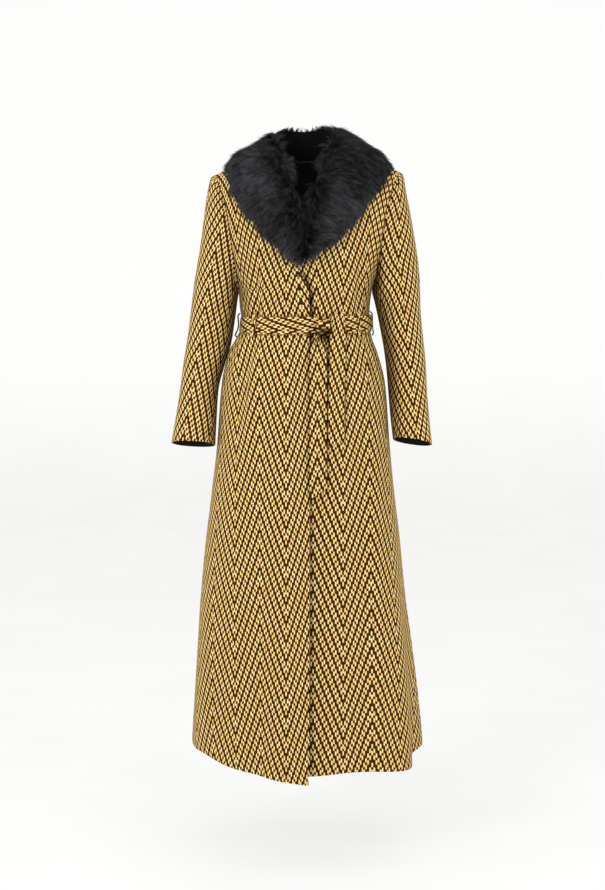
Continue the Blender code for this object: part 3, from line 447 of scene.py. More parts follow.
def angle_at(x, z):
    """The angle, from the front's middle, at which the front of the section crosses x."""
    half_width, middle = section(z)[:2]
    return np.arcsin(power_of(np.clip((x - middle) / half_width, -1.0, 1.0), SQUARENESS / 2))


def body_row_z(row_z, hem):
    """A row's height where the hem has its own height: the lowest rows share out the difference."""
    share = np.clip((HEM_FROM - row_z) / (HEM_FROM - HEM), 0.0, None)
    return row_z + (hem - HEM) * share ** 2


def lap_lift(x, z, edge):
    """How far the upper front stands out near its free edge."""
    return smooth(LAP, "z", "lift", z) * ease((LAP_WIDTH - np.abs(edge - x)) / (LAP_WIDTH - LAP_COVER))


def rise_point(x, rise, face):
    """A point of the body from the armpits (rise 0) to the shoulder seam (rise 1), at x."""
    round_from = shoulder_z(x) - SHOULDER_ROUND
    over = np.clip((rise - CHEST_SHARE) / (1 - CHEST_SHARE), 0.0, 1.0)
    z = np.where(rise <= CHEST_SHARE, ARMPIT + (round_from - ARMPIT) * rise / CHEST_SHARE,
                 round_from + SHOULDER_ROUND * np.sin(over * math.pi / 2))
    return np.stack([x, face * body_depth(x, z, face), z], axis=-1)


CROSSING_STEPS = 14


def x_on_line(rows, column, rise, face, side=1):
    """Where a line given by height crosses the row at this rise, closed in on step by step."""
    x = side * getattr(rows[-1], column) + 0 * rise
    for _ in range(CROSSING_STEPS):
        x = side * smooth(rows, "z", column, rise_point(x, rise, face)[..., 2])
    return x


def upper_rows(inner_x, outer_x, rise, face, columns):
    """Rows of points from the front edge or the middle of the back out to the armhole."""
    z = rise_point(outer_x, rise, face)[..., 2]
    half_width, middle = section(z)[:2]
    start = angle_at(inner_x, z)
    end = angle_at(outer_x, z)
    share = np.linspace(0, 1, columns + 1)
    sine = np.sin(start[:, None] + (end - start)[:, None] * share)
    x = middle[:, None] + half_width[:, None] * power_of(sine, 2 / SQUARENESS)
    return rise_point(x, rise[:, None], face)


# Panels as fine grids

FRONT_COLUMNS = 84
BACK_COLUMNS = 120
SLEEVE_ROWS = 130
UPPER_ROWS = 64           # from the armpits to the shoulder seams, and the lower rows' heights
LOWER_ROWS = np.concatenate((np.linspace(HEM, -0.520, 92), np.linspace(-0.520, ARMPIT, 52)[1:]))


def front_grid(side):
    """The outer points of a front, hem to shoulder. The side is -1 for the wearer's right."""
    name = "right" if side < 0 else "left"
    edge = smooth(FRONT_EDGES, "z", name, LOWER_ROWS)
    start = np.degrees(angle_at(edge, LOWER_ROWS))[:, None]
    turn = start + (side * 90 - start) * np.linspace(0, 1, FRONT_COLUMNS + 1)
    hem = smooth(HEM_LINE, "turn", name, np.maximum(0.0, side * turn))
    lower = ring_point(turn, body_row_z(LOWER_ROWS[:, None], hem))
    rise = np.arange(1, UPPER_ROWS + 1) / UPPER_ROWS
    inner_x = x_on_line(FRONT_EDGES, name, rise, -1)
    outer_x = x_on_line(ARMHOLE, "reach", rise, -1, side)
    grid = np.concatenate((lower, upper_rows(inner_x, outer_x, rise, -1, FRONT_COLUMNS)))
    if side < 0:
        edge = grid[:, :1, 0]
        grid[..., 1] -= lap_lift(grid[..., 0], grid[..., 2], edge)
    return grid


def back_grid():
    """The outer points of the back, hem to neck and shoulders, from the wearer's left side to the right."""
    turn = np.linspace(90, 270, BACK_COLUMNS + 1)[None, :]
    left = smooth(HEM_LINE, "turn", "left", np.minimum(turn, 180))
    right = smooth(HEM_LINE, "turn", "right", np.minimum(360 - turn, 180))
    hem = np.where(turn <= 180, left, right)
    lower = ring_point(turn + 0 * LOWER_ROWS[:, None], body_row_z(LOWER_ROWS[:, None], hem))
    rise = np.arange(1, UPPER_ROWS + 1) / UPPER_ROWS
    half = BACK_COLUMNS // 2
    centre = 0 * rise
    left = upper_rows(centre, x_on_line(ARMHOLE, "reach", rise, 1, 1), rise, 1, half)
    right = upper_rows(centre, x_on_line(ARMHOLE, "reach", rise, 1, -1), rise, 1, half)
    upper = np.concatenate((left[:, :0:-1], right), axis=1)
    reach = np.abs(upper[-1, :, 0])
    scoop = np.where(reach < NECK_SIDE, NECK_SCOOP * ease((NECK_SIDE - reach) / NECK_SIDE * 1.2), 0.0)
    over = np.clip((rise - CHEST_SHARE) / (1 - CHEST_SHARE), 0.0, 1.0)[:, None]
    lowered = np.where(over > 0, CHEST_SHARE + over * (1 - scoop) * (1 - CHEST_SHARE), rise[:, None])
    upper = np.where((scoop > 0)[None, :, None], rise_point(upper[..., 0], lowered, 1), upper)
    return np.concatenate((lower, upper))


def armhole_line(front, back, side):
    """The armhole's points: up the front edge from the armpit, over the shoulder and down the back edge."""
    first = len(LOWER_ROWS) - 1
    column = 0 if side > 0 else -1
    return np.concatenate((front[first:, -1], back[first + 1:-1, column][::-1]))


def sleeve_grid(rings, side, armhole):
    """The outer points of a sleeve, armhole to cuff. A ring starts at the armpit and runs forward first."""
    count = len(armhole)
    number = np.linspace(0, len(rings) - 1, SLEEVE_ROWS + 1)
    value = {name: smooth(numbered(rings), "at", name, number) for name in Ring._fields}
    inner = np.stack([side * value["inner_x"], value["middle"], value["inner_z"]], axis=-1)
    outer = np.stack([side * value["outer_x"], value["middle"], value["outer_z"]], axis=-1)
    centre = ((inner + outer) / 2)[:, None]
    reach = ((outer - inner) / 2)[:, None]
    angle = 2 * math.pi * np.arange(count) / count
    sine = power_of(np.sin(angle), SLEEVE_OVAL)[None, :]
    cosine = power_of(np.cos(angle), SLEEVE_OVAL)[None, :]
    points = centre - reach * cosine[..., None]
    points[..., 1] -= value["half_depth"][:, None] * sine
    last = (number / number[-1])[:, None]
    points[..., 2] += CUFF_TILT * sine * last ** 3
    head = (value["outer_x"] - rings[0].outer_x)[:, None]
    start = np.repeat(armhole[None], len(number), axis=0)
    start[..., 0] += side * head * np.minimum(1.0, 1 - np.cos(angle))[None, :]
    start[..., 2] -= HEAD_DROP * head * ((1 - np.cos(angle)) / 2)[None, :] ** 3
    share = ease(number / (SLEEVE_FAN * (len(rings) - 1)))[:, None, None]
    return (1 - share) * start + share * points


def normals_of(grid, closed):
    """Unit directions across the cloth at each point, to one side."""
    if closed:
        across = np.roll(grid, -1, axis=1) - np.roll(grid, 1, axis=1)
    else:
        across = np.gradient(grid, axis=1)
    return unit(np.cross(unit(across), unit(np.gradient(grid, axis=0))))


def outward_of(grid, closed):
    """The same directions, turned away from the coat's inside."""
    normals = normals_of(grid, closed)
    middle = grid.shape[0] // 2
    if closed:
        inside = grid[middle].mean(axis=0)
    else:
        inside = np.array([0.0, 0.0, grid[middle, :, 2].mean()])
    facing = np.sum(normals[middle] * (grid[middle] - inside))
    return normals if facing > 0 else -normals


CREASE_OVERRUN = 0.25     # a crease runs on past each end by this share of its length
CREASE_FADE = 0.45        # and fades out over this share


def creased(grid, normals, table, side=None):
    """The grid with a table's creases pressed into it."""
    height = np.zeros(grid.shape[:2])
    for crease in table:
        if side is not None and crease.x_from * side < 0:
            continue
        start = np.array([crease.x_from, crease.z_from])
        run = np.array([crease.x_to, crease.z_to]) - start
        flat = grid[..., (0, 2)] - start
        along = (flat @ run) / (run @ run)
        off = np.abs(flat[..., 0] * run[1] - flat[..., 1] * run[0]) / np.linalg.norm(run)
        ends = (ease((along + CREASE_OVERRUN) / CREASE_FADE)
                * ease((1 + CREASE_OVERRUN - along) / CREASE_FADE))
        facing = ease((normals[..., 1] * crease.face + 0.10) / 0.35)
        height += crease.height * ends * facing * np.exp(-(off / crease.width) ** 2)
    return grid + normals * height[..., None]


def seam_pressed(grid, normals, distance, depth=0.0016, width=0.0035):
    """The grid drawn in along a seam and a little full beside it, but smooth over the shoulder."""
    dent = -depth * np.exp(-(distance / width) ** 2)
    full = 0.35 * depth * np.exp(-((distance - 0.011) / 0.006) ** 2)
    on_shoulder = ease((grid[..., 2] + 0.055) / 0.035)
    return grid + normals * ((dent + full) * (1 - on_shoulder))[..., None]


def edge_rolled(grid, normals, distance):
    """The grid rounded over towards its free edge."""
    return grid - normals * (0.0028 * np.exp(-(distance / 0.0045) ** 2))[..., None]


def hollow_beside(grid, normals, edge):
    """The under front drawn in where the upper one's edge lies on it."""
    beside = np.exp(-((grid[..., 0] - edge - 0.0025) / 0.0042) ** 2)
    return grid - normals * (0.0048 * beside * ease((BREAK_POINT - grid[..., 2]) / 0.020))[..., None]


def lengths_along(grid, axis):
    """Running length of a grid's lines along an axis, from 0."""
    steps = np.linalg.norm(np.diff(grid, axis=axis), axis=-1)
    zero = np.zeros_like(np.take(steps, [0], axis=axis))
    return np.concatenate((zero, np.cumsum(steps, axis=axis)), axis=axis)


# Making pieces

def deselect_all():
    for thing in bpy.context.selected_objects:
        thing.select_set(False)


def select_only(piece):
    deselect_all()
    piece.select_set(True)
    bpy.context.view_layer.objects.active = piece


def grid_piece(name, points, uv, shade=None):
    """A sheet as a grid of points. The map "Cloth" is its place on the flat cloth in metres, and the U of
    the map "Shade" says how deep in shade it lies, from 0 to 1.
    """
    rows, columns = points.shape[:2]
    deselect_all()
    bpy.ops.mesh.primitive_grid_add(x_subdivisions=columns - 1, y_subdivisions=rows - 1, size=1.0,
                                    calc_uvs=True, location=(0, 0, 0))
    piece = bpy.context.object
    piece.name = name
    mesh = piece.data
    mesh.name = name
    mesh.vertices.foreach_set("co", np.ascontiguousarray(points.reshape(-1, 3), np.float32).ravel())
    index = np.zeros(len(mesh.loops), np.int32)
    mesh.loops.foreach_get("vertex_index", index)
    flat = uv.reshape(-1, 2)[index]
    mesh.uv_layers[0].name = "Cloth"
    mesh.uv_layers["Cloth"].data.foreach_set("uv", np.ascontiguousarray(flat, np.float32).ravel())
    deep = np.zeros((len(index), 2), np.float32)
    if shade is not None:
        deep[:, 0] = np.clip(shade, 0.0, 1.0).reshape(-1)[index]
    mesh.uv_layers.new(name="Shade", do_init=False)
    mesh.uv_layers["Shade"].data.foreach_set("uv", deep.ravel())
    mesh.uv_layers.active = mesh.uv_layers["Cloth"]
    mesh.update()
    return piece


JOIN = 1e-6               # points this close are one
RING_JOIN = 1e-5          # where a band closes on itself


def facing_out(piece, point, direction):
    """Turns a sheet's faces so that the one nearest a point faces along a direction."""
    mesh = piece.data
    nearest = min(mesh.polygons, key=lambda face: (face.center - Vector(point)).length)
    if nearest.normal.dot(Vector(direction)) < 0:
        mesh.flip_normals()
        mesh.update()


def join_edges(piece, distance=JOIN):
    """Closes a tube whose first and last columns lie on each other."""
    select_only(piece)
    bpy.ops.object.mode_set(mode="EDIT")
    bpy.ops.mesh.select_all(action="SELECT")
    bpy.ops.mesh.remove_doubles(threshold=distance)
    bpy.ops.object.mode_set(mode="OBJECT")


def thicken(piece, thickness):
    """Gives a sheet its cloth's thickness, inwards. The inside takes the second material."""
    select_only(piece)
    wall = piece.modifiers.new("Cloth", "SOLIDIFY")
    wall.thickness = thickness
    wall.offset = -1.0
    wall.use_even_offset = False
    wall.material_offset = 1
    wall.material_offset_rim = 0
    bpy.ops.object.modifier_apply(modifier=wall.name)


def smooth_shaded(piece, angle):
    select_only(piece)
    bpy.ops.object.shade_smooth_by_angle(angle=math.radians(angle))


def dressed(piece, node):
    """Sets a piece on the part in place of a node of the solids."""
    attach(piece, "root")
    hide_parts(node)


# Materials

class Socket:
    """A value that runs over a surface, so that sums on it make the nodes that work them out."""

    def __init__(self, maker, socket):
        self.maker = maker
        self.socket = socket

    def maths(self, operation, *others, first=None):
        values = [self, *others] if first is None else [first, self]
        return self.maker.node("ShaderNodeMath", {"operation": operation}, dict(enumerate(values)))

    def __add__(self, other):
        return self.maths("ADD", other)

    def __radd__(self, other):
        return self.maths("ADD", other)

    def __sub__(self, other):
        return self.maths("SUBTRACT", other)

    def __rsub__(self, other):
        return self.maths("SUBTRACT", first=other)

    def __mul__(self, other):
        return self.maths("MULTIPLY", other)

    def __rmul__(self, other):
        return self.maths("MULTIPLY", other)

    def __truediv__(self, other):
        return self.maths("DIVIDE", other)

    def __abs__(self):
        return self.maths("ABSOLUTE")

    def __mod__(self, other):
        return self.maths("FLOORED_MODULO", other)

    def __gt__(self, other):
        return self.maths("GREATER_THAN", other)

    def floor(self):
        return self.maths("FLOOR")

    def fract(self):
        return self.maths("FRACT")

    def least(self, other):
        return self.maths("MINIMUM", other)

    def most(self, other):
        return self.maths("MAXIMUM", other)

    def clipped(self):
        return self.maths("MINIMUM", 1.0).maths("MAXIMUM", 0.0)

    def part(self, name):
        """Another output of the same node."""
        return Socket(self.maker, self.socket.node.outputs[name])


class Finish:
    """A material and its nodes."""

    def __init__(self, name, **shader):
        self.material = bpy.data.materials.new(name)
        self.material.use_nodes = True
        self.tree = self.material.node_tree
        self.shader = self.tree.nodes["Principled BSDF"]
        for socket, value in shader.items():
            self.shader.inputs[socket.replace("_", " ")].default_value = value

    def node(self, kind, settings, inputs, output=0):
        """Any node, by its type, its settings and the values or links of its sockets."""
        node = self.tree.nodes.new(kind)
        for name, value in settings.items():
            setattr(node, name, value)
        for key, value in inputs.items():
            self.feed(node.inputs[key], value)
        return Socket(self, node.outputs[output])

    def feed(self, socket, value):
        if isinstance(value, Socket):
            self.tree.links.new(value.socket, socket)
        else:
            socket.default_value = value

    def mix(self, factor, first, second):
        """One colour over another."""
        return self.node("ShaderNodeMix", {"data_type": "RGBA"}, {0: factor, 6: first, 7: second}, output=2)

    def noise(self, where, scale, detail):
        return self.node("ShaderNodeTexNoise", {}, {"Vector": where, "Scale": scale, "Detail": detail})

    def uv_map(self, name):
        """A map of the piece, as a vector."""
        return self.node("ShaderNodeUVMap", {"uv_map": name}, {})

    def split(self, vector):
        """The parts of a vector: X, Y and Z."""
        return self.node("ShaderNodeSeparateXYZ", {}, {0: vector})

    def place(self):
        """Where a point lies on the piece, in metres."""
        return self.node("ShaderNodeTexCoord", {}, {}).part("Object")

    def joined(self, x, y):
        return self.node("ShaderNodeCombineXYZ", {}, {0: x, 1: y})

    def paint(self, **sockets):
        for name, value in sockets.items():
            self.feed(self.shader.inputs[name.replace("_", " ")], value)

    def bump(self, height, strength, distance):
        self.paint(Normal=self.node("ShaderNodeBump", {},
                                    {"Strength": strength, "Distance": distance, "Height": height}))


def colour(red, green, blue):
    """A colour as it is seen, 0 to 255, as the shader wants it."""
    values = [value / 255 for value in (red, green, blue)]
    return (*[v / 12.92 if v <= 0.04045 else ((v + 0.055) / 1.055) ** 2.4 for v in values], 1.0)


def herringbone(name):
    """Yellow floats with a dark dot between two of them, in steps that turn every BAND columns."""
    wool = Finish(name, Roughness=0.90, Specular_IOR_Level=0.03, Sheen_Weight=0.09, Sheen_Roughness=0.40,
                  Sheen_Tint=colour(255, 208, 140))
    cloth = wool.uv_map("Cloth")
    split = wool.split(cloth)
    drift = wool.noise(cloth, 9.0, 2.0) - 0.5
    wander = wool.noise(cloth, 160.0, 1.0) - 0.5
    across = (split.part("X") + drift * 0.0012 + wander * 0.0006) / YARN
    along = (split.part("Y") + wander * 0.0012) / REPEAT
    column = across.floor()
    side = (across.fract() - 0.5) * 2.0
    aslant = (across - 0.5) % float(2 * BAND)
    aslant = aslant.least(2.0 * BAND - aslant)

    def height_of(which_column):
        place = which_column % float(2 * BAND)
        return along + (place.least(2.0 * BAND - place) * (1 - SLANT) + aslant * SLANT) * 0.25

    def run_at(share):
        first, second = (1.0 - abs(share - middle) / FLOAT_HALF for middle in FLOATS)
        return first.most(second)

    height = height_of(column)
    row = height.floor()
    share = height.fract()
    run = run_at(share)
    beside = run_at(height_of(column + (side > 0.0) * 2.0 - 1.0).fract())
    float_end = (run * 7.0 - 0.93).clipped()
    merged = (beside * 7.0 - 0.93).clipped() * 0.9
    float_side = ((1.0 - abs(side)) * 4.2 - 0.10).clipped().most(merged)
    yellow = float_end * float_side
    dot = (1.0 - abs(share - DOT) / DOT_HALF).clipped()

    which = wool.node("ShaderNodeTexWhiteNoise", {"noise_dimensions": "2D"},
                      {"Vector": wool.joined(column, row * 2.0 + (share > 0.33))})
    broad = wool.noise(cloth, 3.2, 2.0)
    fibre = wool.noise(wool.node("ShaderNodeVectorMath", {"operation": "MULTIPLY"},
                                 {0: cloth, 1: (1500.0, 420.0, 1.0)}), 1.0, 3.0)
    pale = wool.mix(which, colour(232, 203, 114), colour(244, 225, 166))
    warm = wool.mix(((which * 7.3).fract() - 0.55).clipped() * 1.6, pale, colour(240, 190, 142))
    # Each float is painted darker towards its ends and sides: painted shade where the round yarn turns under.
    shaded_float = wool.mix(((run * 1.6).clipped() * (1.15 - abs(side))).clipped() * 0.75 + 0.25,
                   colour(156, 102, 26), warm)
    gap = wool.mix((which * 3.1).fract(), colour(54, 26, 3), colour(40, 28, 0))
    gap = wool.mix(dot, gap, colour(40, 12, 0))
    woven = wool.mix(yellow, gap, shaded_float)
    aged = wool.mix((broad - 0.35).clipped() * 0.35, woven, colour(122, 90, 40))
    toned = wool.mix((fibre - 0.45).clipped() * 0.5, woven, colour(98, 70, 22))
    open_colour = wool.mix(0.25, toned, aged)
    shade = wool.split(wool.uv_map("Shade")).part("X")
    dimmed = wool.mix(0.92, open_colour, wool.mix(yellow, colour(17, 8, 2), colour(78, 43, 15)))
    wool.paint(Base_Color=wool.mix(shade.clipped(), open_colour, dimmed))
    crown = (1.0 - side * side) * (run * 2.2).clipped()
    wool.bump(crown * 0.8 + fibre * 0.25, 0.55, 0.0016)
    return wool.material


def plain_reverse():
    """The dark inside of the cloth: a close twill with a faint rib."""
    reverse = Finish("Dark inside", Roughness=0.75, Specular_IOR_Level=0.15)
    cloth = reverse.uv_map("Cloth")
    split = reverse.split(cloth)
    rib = ((split.part("X") + split.part("Y") * 0.7) / 0.0016).fract()
    patch = reverse.noise(cloth, 30.0, 3.0)
    shade = reverse.mix(patch, colour(26, 22, 20), colour(46, 40, 36))
    reverse.paint(Base_Color=reverse.mix(abs(rib - 0.5) * 0.7, shade, colour(20, 17, 16)))
    reverse.bump(abs(rib - 0.5), 0.3, 0.0005)
    return reverse.material


def fur_finish(name, dark, light, tip):
    """Fur by strand: U is a number of its own for each strand, the lightness that carries its painted sheen
    and shade, and V runs from its root to its tip.
    """
    fur = Finish(name, Roughness=0.42, Specular_IOR_Level=0.16)
    split = fur.split(fur.uv_map("Strand"))
    own = split.part("X")
    along = split.part("Y")
    base = fur.mix(own, dark, light)
    shaded = fur.mix((along * 1.5).clipped(), dark, base)
    tipped = fur.mix(((along - 0.6) * own * 1.2).clipped(), shaded, tip)
    fur.paint(Base_Color=tipped, Roughness=own * 0.2 + 0.35)
    return fur.material


WOOL = herringbone("Herringbone wool")
INSIDE = plain_reverse()


# Body panels

def body_shade(grid, normals, side):
    """How deep in shade the body's cloth lies: beside the sleeves and the belt, and on the under front
    also along the lap's edge and the belt's two ends, and below the knot.
    """
    x, z = grid[..., 0], grid[..., 2]
    by_sleeve = ease((np.abs(normals[..., 0]) - 0.62) / 0.38)
    by_sleeve = by_sleeve * ease((-0.10 - z) / 0.06) * ease((z + 0.345) / 0.03)
    under_belt = np.exp(-((z - BELT_FOOT) / 0.0045) ** 2)
    over_belt = np.exp(-((z - BELT_TOP) / 0.0035) ** 2)
    shade = 0.50 * by_sleeve + 0.60 * under_belt + 0.35 * over_belt
    if side <= 0:
        return shade
    front = normals[..., 1] < 0
    off = x - smooth(FRONT_EDGES, "z", "right", z)
    above = ease((BREAK_POINT - z) / 0.03) * ease((z + 0.350) / 0.04)
    low = ease((-0.62 - z) / 0.25)
    # Painted shade beside the lap's edge above the belt, a painted shadow line along it below, and broad
    # painted shade beside it on the skirt.
    beside_lap_edge = ease((0.0125 - off) / 0.0065) * (off > -0.02) * above
    line = np.exp(-(off / 0.0038) ** 2) * (1 - above) * (z < -0.30) * (0.85 - 0.40 * low)
    broad = 0.16 * np.exp(-(off / 0.034) ** 2) * (off > 0) * ease((BELT_FOOT - z) / 0.05)
    shade = shade + front * (beside_lap_edge + line + broad)
    for strip in (LONG_END, SHORT_END):
        share = (strip.z_top - z) / (strip.z_top - strip.z_foot)
        middle = strip.x_top + (strip.x_foot - strip.x_top) * share
        rim = np.abs(np.abs(x - middle) - strip.half_width)
        hangs = (share > 0.05) * ease((1.04 - share) / 0.04)
        shade = shade + 0.55 * front * np.exp(-(rim / 0.0030) ** 2) * hangs
    below_knot = np.exp(-((x - KNOT_MIDDLE[0]) / 0.016) ** 2 - ((z + 0.376) / 0.010) ** 2)
    return shade + 0.9 * front * below_knot


def turned_back(uv, x, z):
    """The weave mirrored in the strip that rolls over beside the lap's edge above the belt."""
    strip_from = -0.0190 + 0.0100 * ease((BREAK_POINT - z) / 0.12)
    uv[..., 0] -= 2 * np.maximum(x - strip_from, 0.0) * ease((z + 0.375) / 0.020)
    return uv


# How far the yarns have shifted across a panel, by the distance from its middle.
Ease = namedtuple("Ease", "place give")
WEAVE_EASE = {
    "front_right": (Ease(-0.150, 0.0), Ease(-0.034, 0.0), Ease(0.010, 0.0050), Ease(0.070, 0.0050)),
    "front_left": (Ease(-0.060, 0.0085), Ease(0.005, 0.0085), Ease(0.078, 0.0020), Ease(0.130, 0.0),
                   Ease(0.170, -0.0085), Ease(0.240, -0.0085)),
    "back": (Ease(-0.300, 0.0), Ease(0.300, 0.0)),
}


def body_weave(node, grid, seam, side):
    """Place on the flat cloth: across from the middle, and up."""
    z = grid[..., 2]
    if side == 0:
        half = grid.shape[1] // 2
        across = seam - seam[:, half:half + 1]
    else:
        across = side * seam + grid[:, :1, 0]
    up = lengths_along(grid, 0)
    top = len(LOWER_ROWS) - 1
    rise = np.concatenate((z[:top + 1], z[top:top + 1] + (up[top + 1:] - up[top:top + 1])))
    rise = rise + across ** 2 / (2 * SAG) * ease((BELT_FOOT - z) / 0.35)
    rows = WEAVE_EASE[node]
    shifted = np.interp(across, [row.place for row in rows], [row.give for row in rows])
    return across + shifted * ease((BELT_FOOT - z) / 0.06), rise


def flat_size(uv):
    """Width, length and area of a panel's flat cut."""
    size = uv.reshape(-1, 2).max(axis=0) - uv.reshape(-1, 2).min(axis=0)
    rising = uv[1:, 1:] - uv[:-1, :-1]
    falling = uv[1:, :-1] - uv[:-1, 1:]
    cross = rising[..., 0] * falling[..., 1] - rising[..., 1] * falling[..., 0]
    return (float(size[0]), float(size[1])), float(np.abs(cross).sum() / 2)


def sewn(piece, node, uv):
    """Makes a sheet into a panel of cloth. Its dark inside also shows on the outside of the neck."""
    piece.data.materials.append(WOOL)
    piece.data.materials.append(INSIDE)
    thicken(piece, CLOTH)
    for face in piece.data.polygons:
        if face.center.z > -0.02 and abs(face.center.x) < NECK_SIDE + 0.005:
            face.material_index = 1
    smooth_shaded(piece, 60)
    dressed(piece, node)
    flat, area = flat_size(uv)


def body_panel(node, grid, side, phase_across, phase_up):
    """A front or the back, with its creases, its seams and its shade."""
    normals = outward_of(grid, False)
    seam = lengths_along(grid, 1)
    shape = creased(grid, normals, BODY_CREASES)
    shape = seam_pressed(shape, normals, seam[:, -1:] - seam)
    if side == 0:
        shape = seam_pressed(shape, normals, seam)
    if side < 0:
        shape = edge_rolled(shape, normals, seam)
    if side > 0:
        shape = hollow_beside(shape, normals, smooth(FRONT_EDGES, "z", "right", grid[..., 2]))
    across, rise = body_weave(node, grid, seam, side)
    uv = np.stack([across + phase_across, rise + phase_up], axis=-1)
    if side < 0:
        uv = turned_back(uv, grid[..., 0], grid[..., 2])
    piece = grid_piece(node + "_cloth", shape, uv, body_shade(grid, normals, side))
    middle = (grid.shape[0] // 2, grid.shape[1] // 2)
    facing_out(piece, shape[middle], normals[middle])
    sewn(piece, node, uv)


Panel = namedtuple("Panel", "side grid phase_across phase_up")
PANELS = {
    "front_right": Panel(-1, front_grid(-1), phase_across=-0.0140, phase_up=0.0),
    "front_left": Panel(1, front_grid(1), phase_across=-0.0198, phase_up=0.010),
    "back": Panel(0, back_grid(), phase_across=0.0, phase_up=0.004),
}
for node, panel in PANELS.items():
    body_panel(node, panel.grid, panel.side, panel.phase_across, panel.phase_up)


# Sleeves

def sleeve_uv(full, side, phase_across, phase_up, lean, head_lean):
    """Place on the flat cloth: round the arm from its outer line, and along the arm.

    Above the first oval the sleeve is read as a straight tube that the armhole cuts off aslant. The columns
    lean forwards on their way up, and back again near the head.
    """
    first = int(round(SLEEVE_FAN * (full.shape[0] - 1)))
    outer = full.shape[1] // 2
    centres = full[:, :-1].mean(axis=1)
    axis = unit(centres[min(first + 24, len(centres) - 1)] - centres[0])
    around = lengths_along(full - (full @ axis)[..., None] * axis, 1)
    around = around - around[:, outer:outer + 1]
    out = unit(np.array([side, 0.0, 0.0]) - axis * axis[0] * side)
    front = np.cross(axis, out)
    front = front if front[1] < 0 else -front
    spoke = full - centres[first]
    spoke = spoke - (spoke @ axis)[..., None] * axis
    turned = np.arctan2(spoke @ front, spoke @ out)
    turned = np.concatenate((np.unwrap(turned[:, outer::-1], axis=1)[:, ::-1],
                             np.unwrap(turned[:, outer:], axis=1)[:, 1:]), axis=1)
    radius = np.linalg.norm(spoke, axis=-1)
    order = np.argsort(turned[first])
    down = lengths_along(full, 0)
    down = down - down[first:first + 1] + (full[first] @ axis)[None, :]
    for row in range(first):
        around[row] = np.interp(turned[row], turned[first][order], around[first][order])
        inward = np.interp(turned[row], turned[first][order], radius[first][order]) - radius[row]
        down[row] = full[row] @ axis - 0.8 * np.maximum(inward, 0.0)
    near_head = np.maximum(full[..., 2] + 0.22, 0.0)
    around = around + lean * (full[..., 2] + 0.56) - head_lean * near_head ** 2 / (near_head + 0.04)
    return np.stack([side * around + phase_across, phase_up - down], axis=-1)


def closed_round(rows):
    """Rings with their first point again at their end."""
    return np.concatenate((rows, rows[:, :1]), axis=1)


def sleeve_panel(node, side, rings, front, **weave):
    """A sleeve set into its armhole, with its creases and its shade towards the body."""
    grid = sleeve_grid(rings, side, armhole_line(PANELS[front].grid, PANELS["back"].grid, side))
    normals = outward_of(grid, True)
    shape = creased(grid, normals, SLEEVE_CREASES, side)
    shape = seam_pressed(shape, normals, lengths_along(grid, 0), depth=0.0011, width=0.0040)
    shape, full, normals = closed_round(shape), closed_round(grid), closed_round(normals)
    z = full[..., 2]
    uv = sleeve_uv(full, side, **weave)
    inward = ease((-side * normals[..., 0] - 0.34 + 0.06 * side) / 0.60)
    shade = (0.69 + 0.09 * side) * inward * (0.45 + 0.55 * ease((z + 0.62) / 0.16))
    piece = grid_piece(node + "_cloth", shape, uv, shade * ease((-0.07 - z) / 0.06))
    middle = (shape.shape[0] // 2, shape.shape[1] // 2)
    facing_out(piece, shape[middle], normals[middle])
    join_edges(piece)
    sewn(piece, node, uv)


sleeve_panel("sleeve_right", -1, SLEEVE_RIGHT, "front_right",
             phase_across=-0.0551, phase_up=0.0, lean=0.06, head_lean=0.0)
sleeve_panel("sleeve_left", 1, SLEEVE_LEFT, "front_left",
             phase_across=0.0041, phase_up=0.015, lean=0.07, head_lean=0.33)


# Belt

def belt_lift(turn, z):
    """How far the belt stands out to pass over the lapped fronts."""
    point = ring_point(turn, z, gathered=False)
    edge = smooth(FRONT_EDGES, "z", "right", z)
    over = lap_lift(point[..., 0], z, edge)
    beside = lap_lift(edge, z, edge) * ease(1 - (point[..., 0] - edge) / 0.05)
    return np.where(point[..., 1] > 0, 0.0, np.where(point[..., 0] <= edge, over, beside))


def front_y(x, z):
    """The level of the front's cloth at x and z, or of the belt where it lies there."""
    turn = np.degrees(angle_at(x, z))
    on_belt = ease((z - BELT_FOOT + 0.010) / 0.006) * ease((BELT_TOP + 0.010 - z) / 0.006)
    lift = belt_lift(turn, z) + (BELT_CLOTH + REST_GAP + 0.0006) * on_belt
    return ring_point(turn, z)[..., 1] + lift / out_at(turn, z)[..., 1]


BODY_CLOTHS = ["front_right_cloth", "front_left_cloth", "back_cloth"]
TAIL_ROWS = 90
BAND_SIDES = 20
BAND_FACE = BAND_SIDES // 4   # the column along the middle of a band's face


def band_profile():
    """A pressed band's section, once round: across and out of it, and across its weave, from -1 to 1."""
    angle = np.linspace(0, 2 * math.pi, BAND_SIDES + 1)
    wide = power_of(np.cos(angle), 0.45)
    deep = power_of(np.sin(angle), 0.80)
    return wide, deep, wide * np.where(deep < -0.01, -1.0, 1.0)


def band_piece(name, path, across, outward, half_width, thickness, shade_at, uv_turn=0.0):
    """A pressed band along a path: rounded edges, its own thickness, its yarns running along it."""
    wide, deep, weave = band_profile()
    half = np.full(len(path), half_width)
    thick = np.full(len(path), thickness)
    points = (path[:, None] + across[:, None] * (half[:, None] * wide)[..., None]
              + outward[:, None] * (thick[:, None] * (0.5 + 0.5 * deep))[..., None])
    length = lengths_along(path, 0)
    uv = np.stack(np.broadcast_arrays(weave * half.max() + uv_turn, length[:, None]), axis=-1)
    piece = grid_piece(name, points, uv, shade_at(points))
    middle = len(path) // 2
    facing_out(piece, points[middle, BAND_FACE], outward[middle])
    return piece, length[-1]


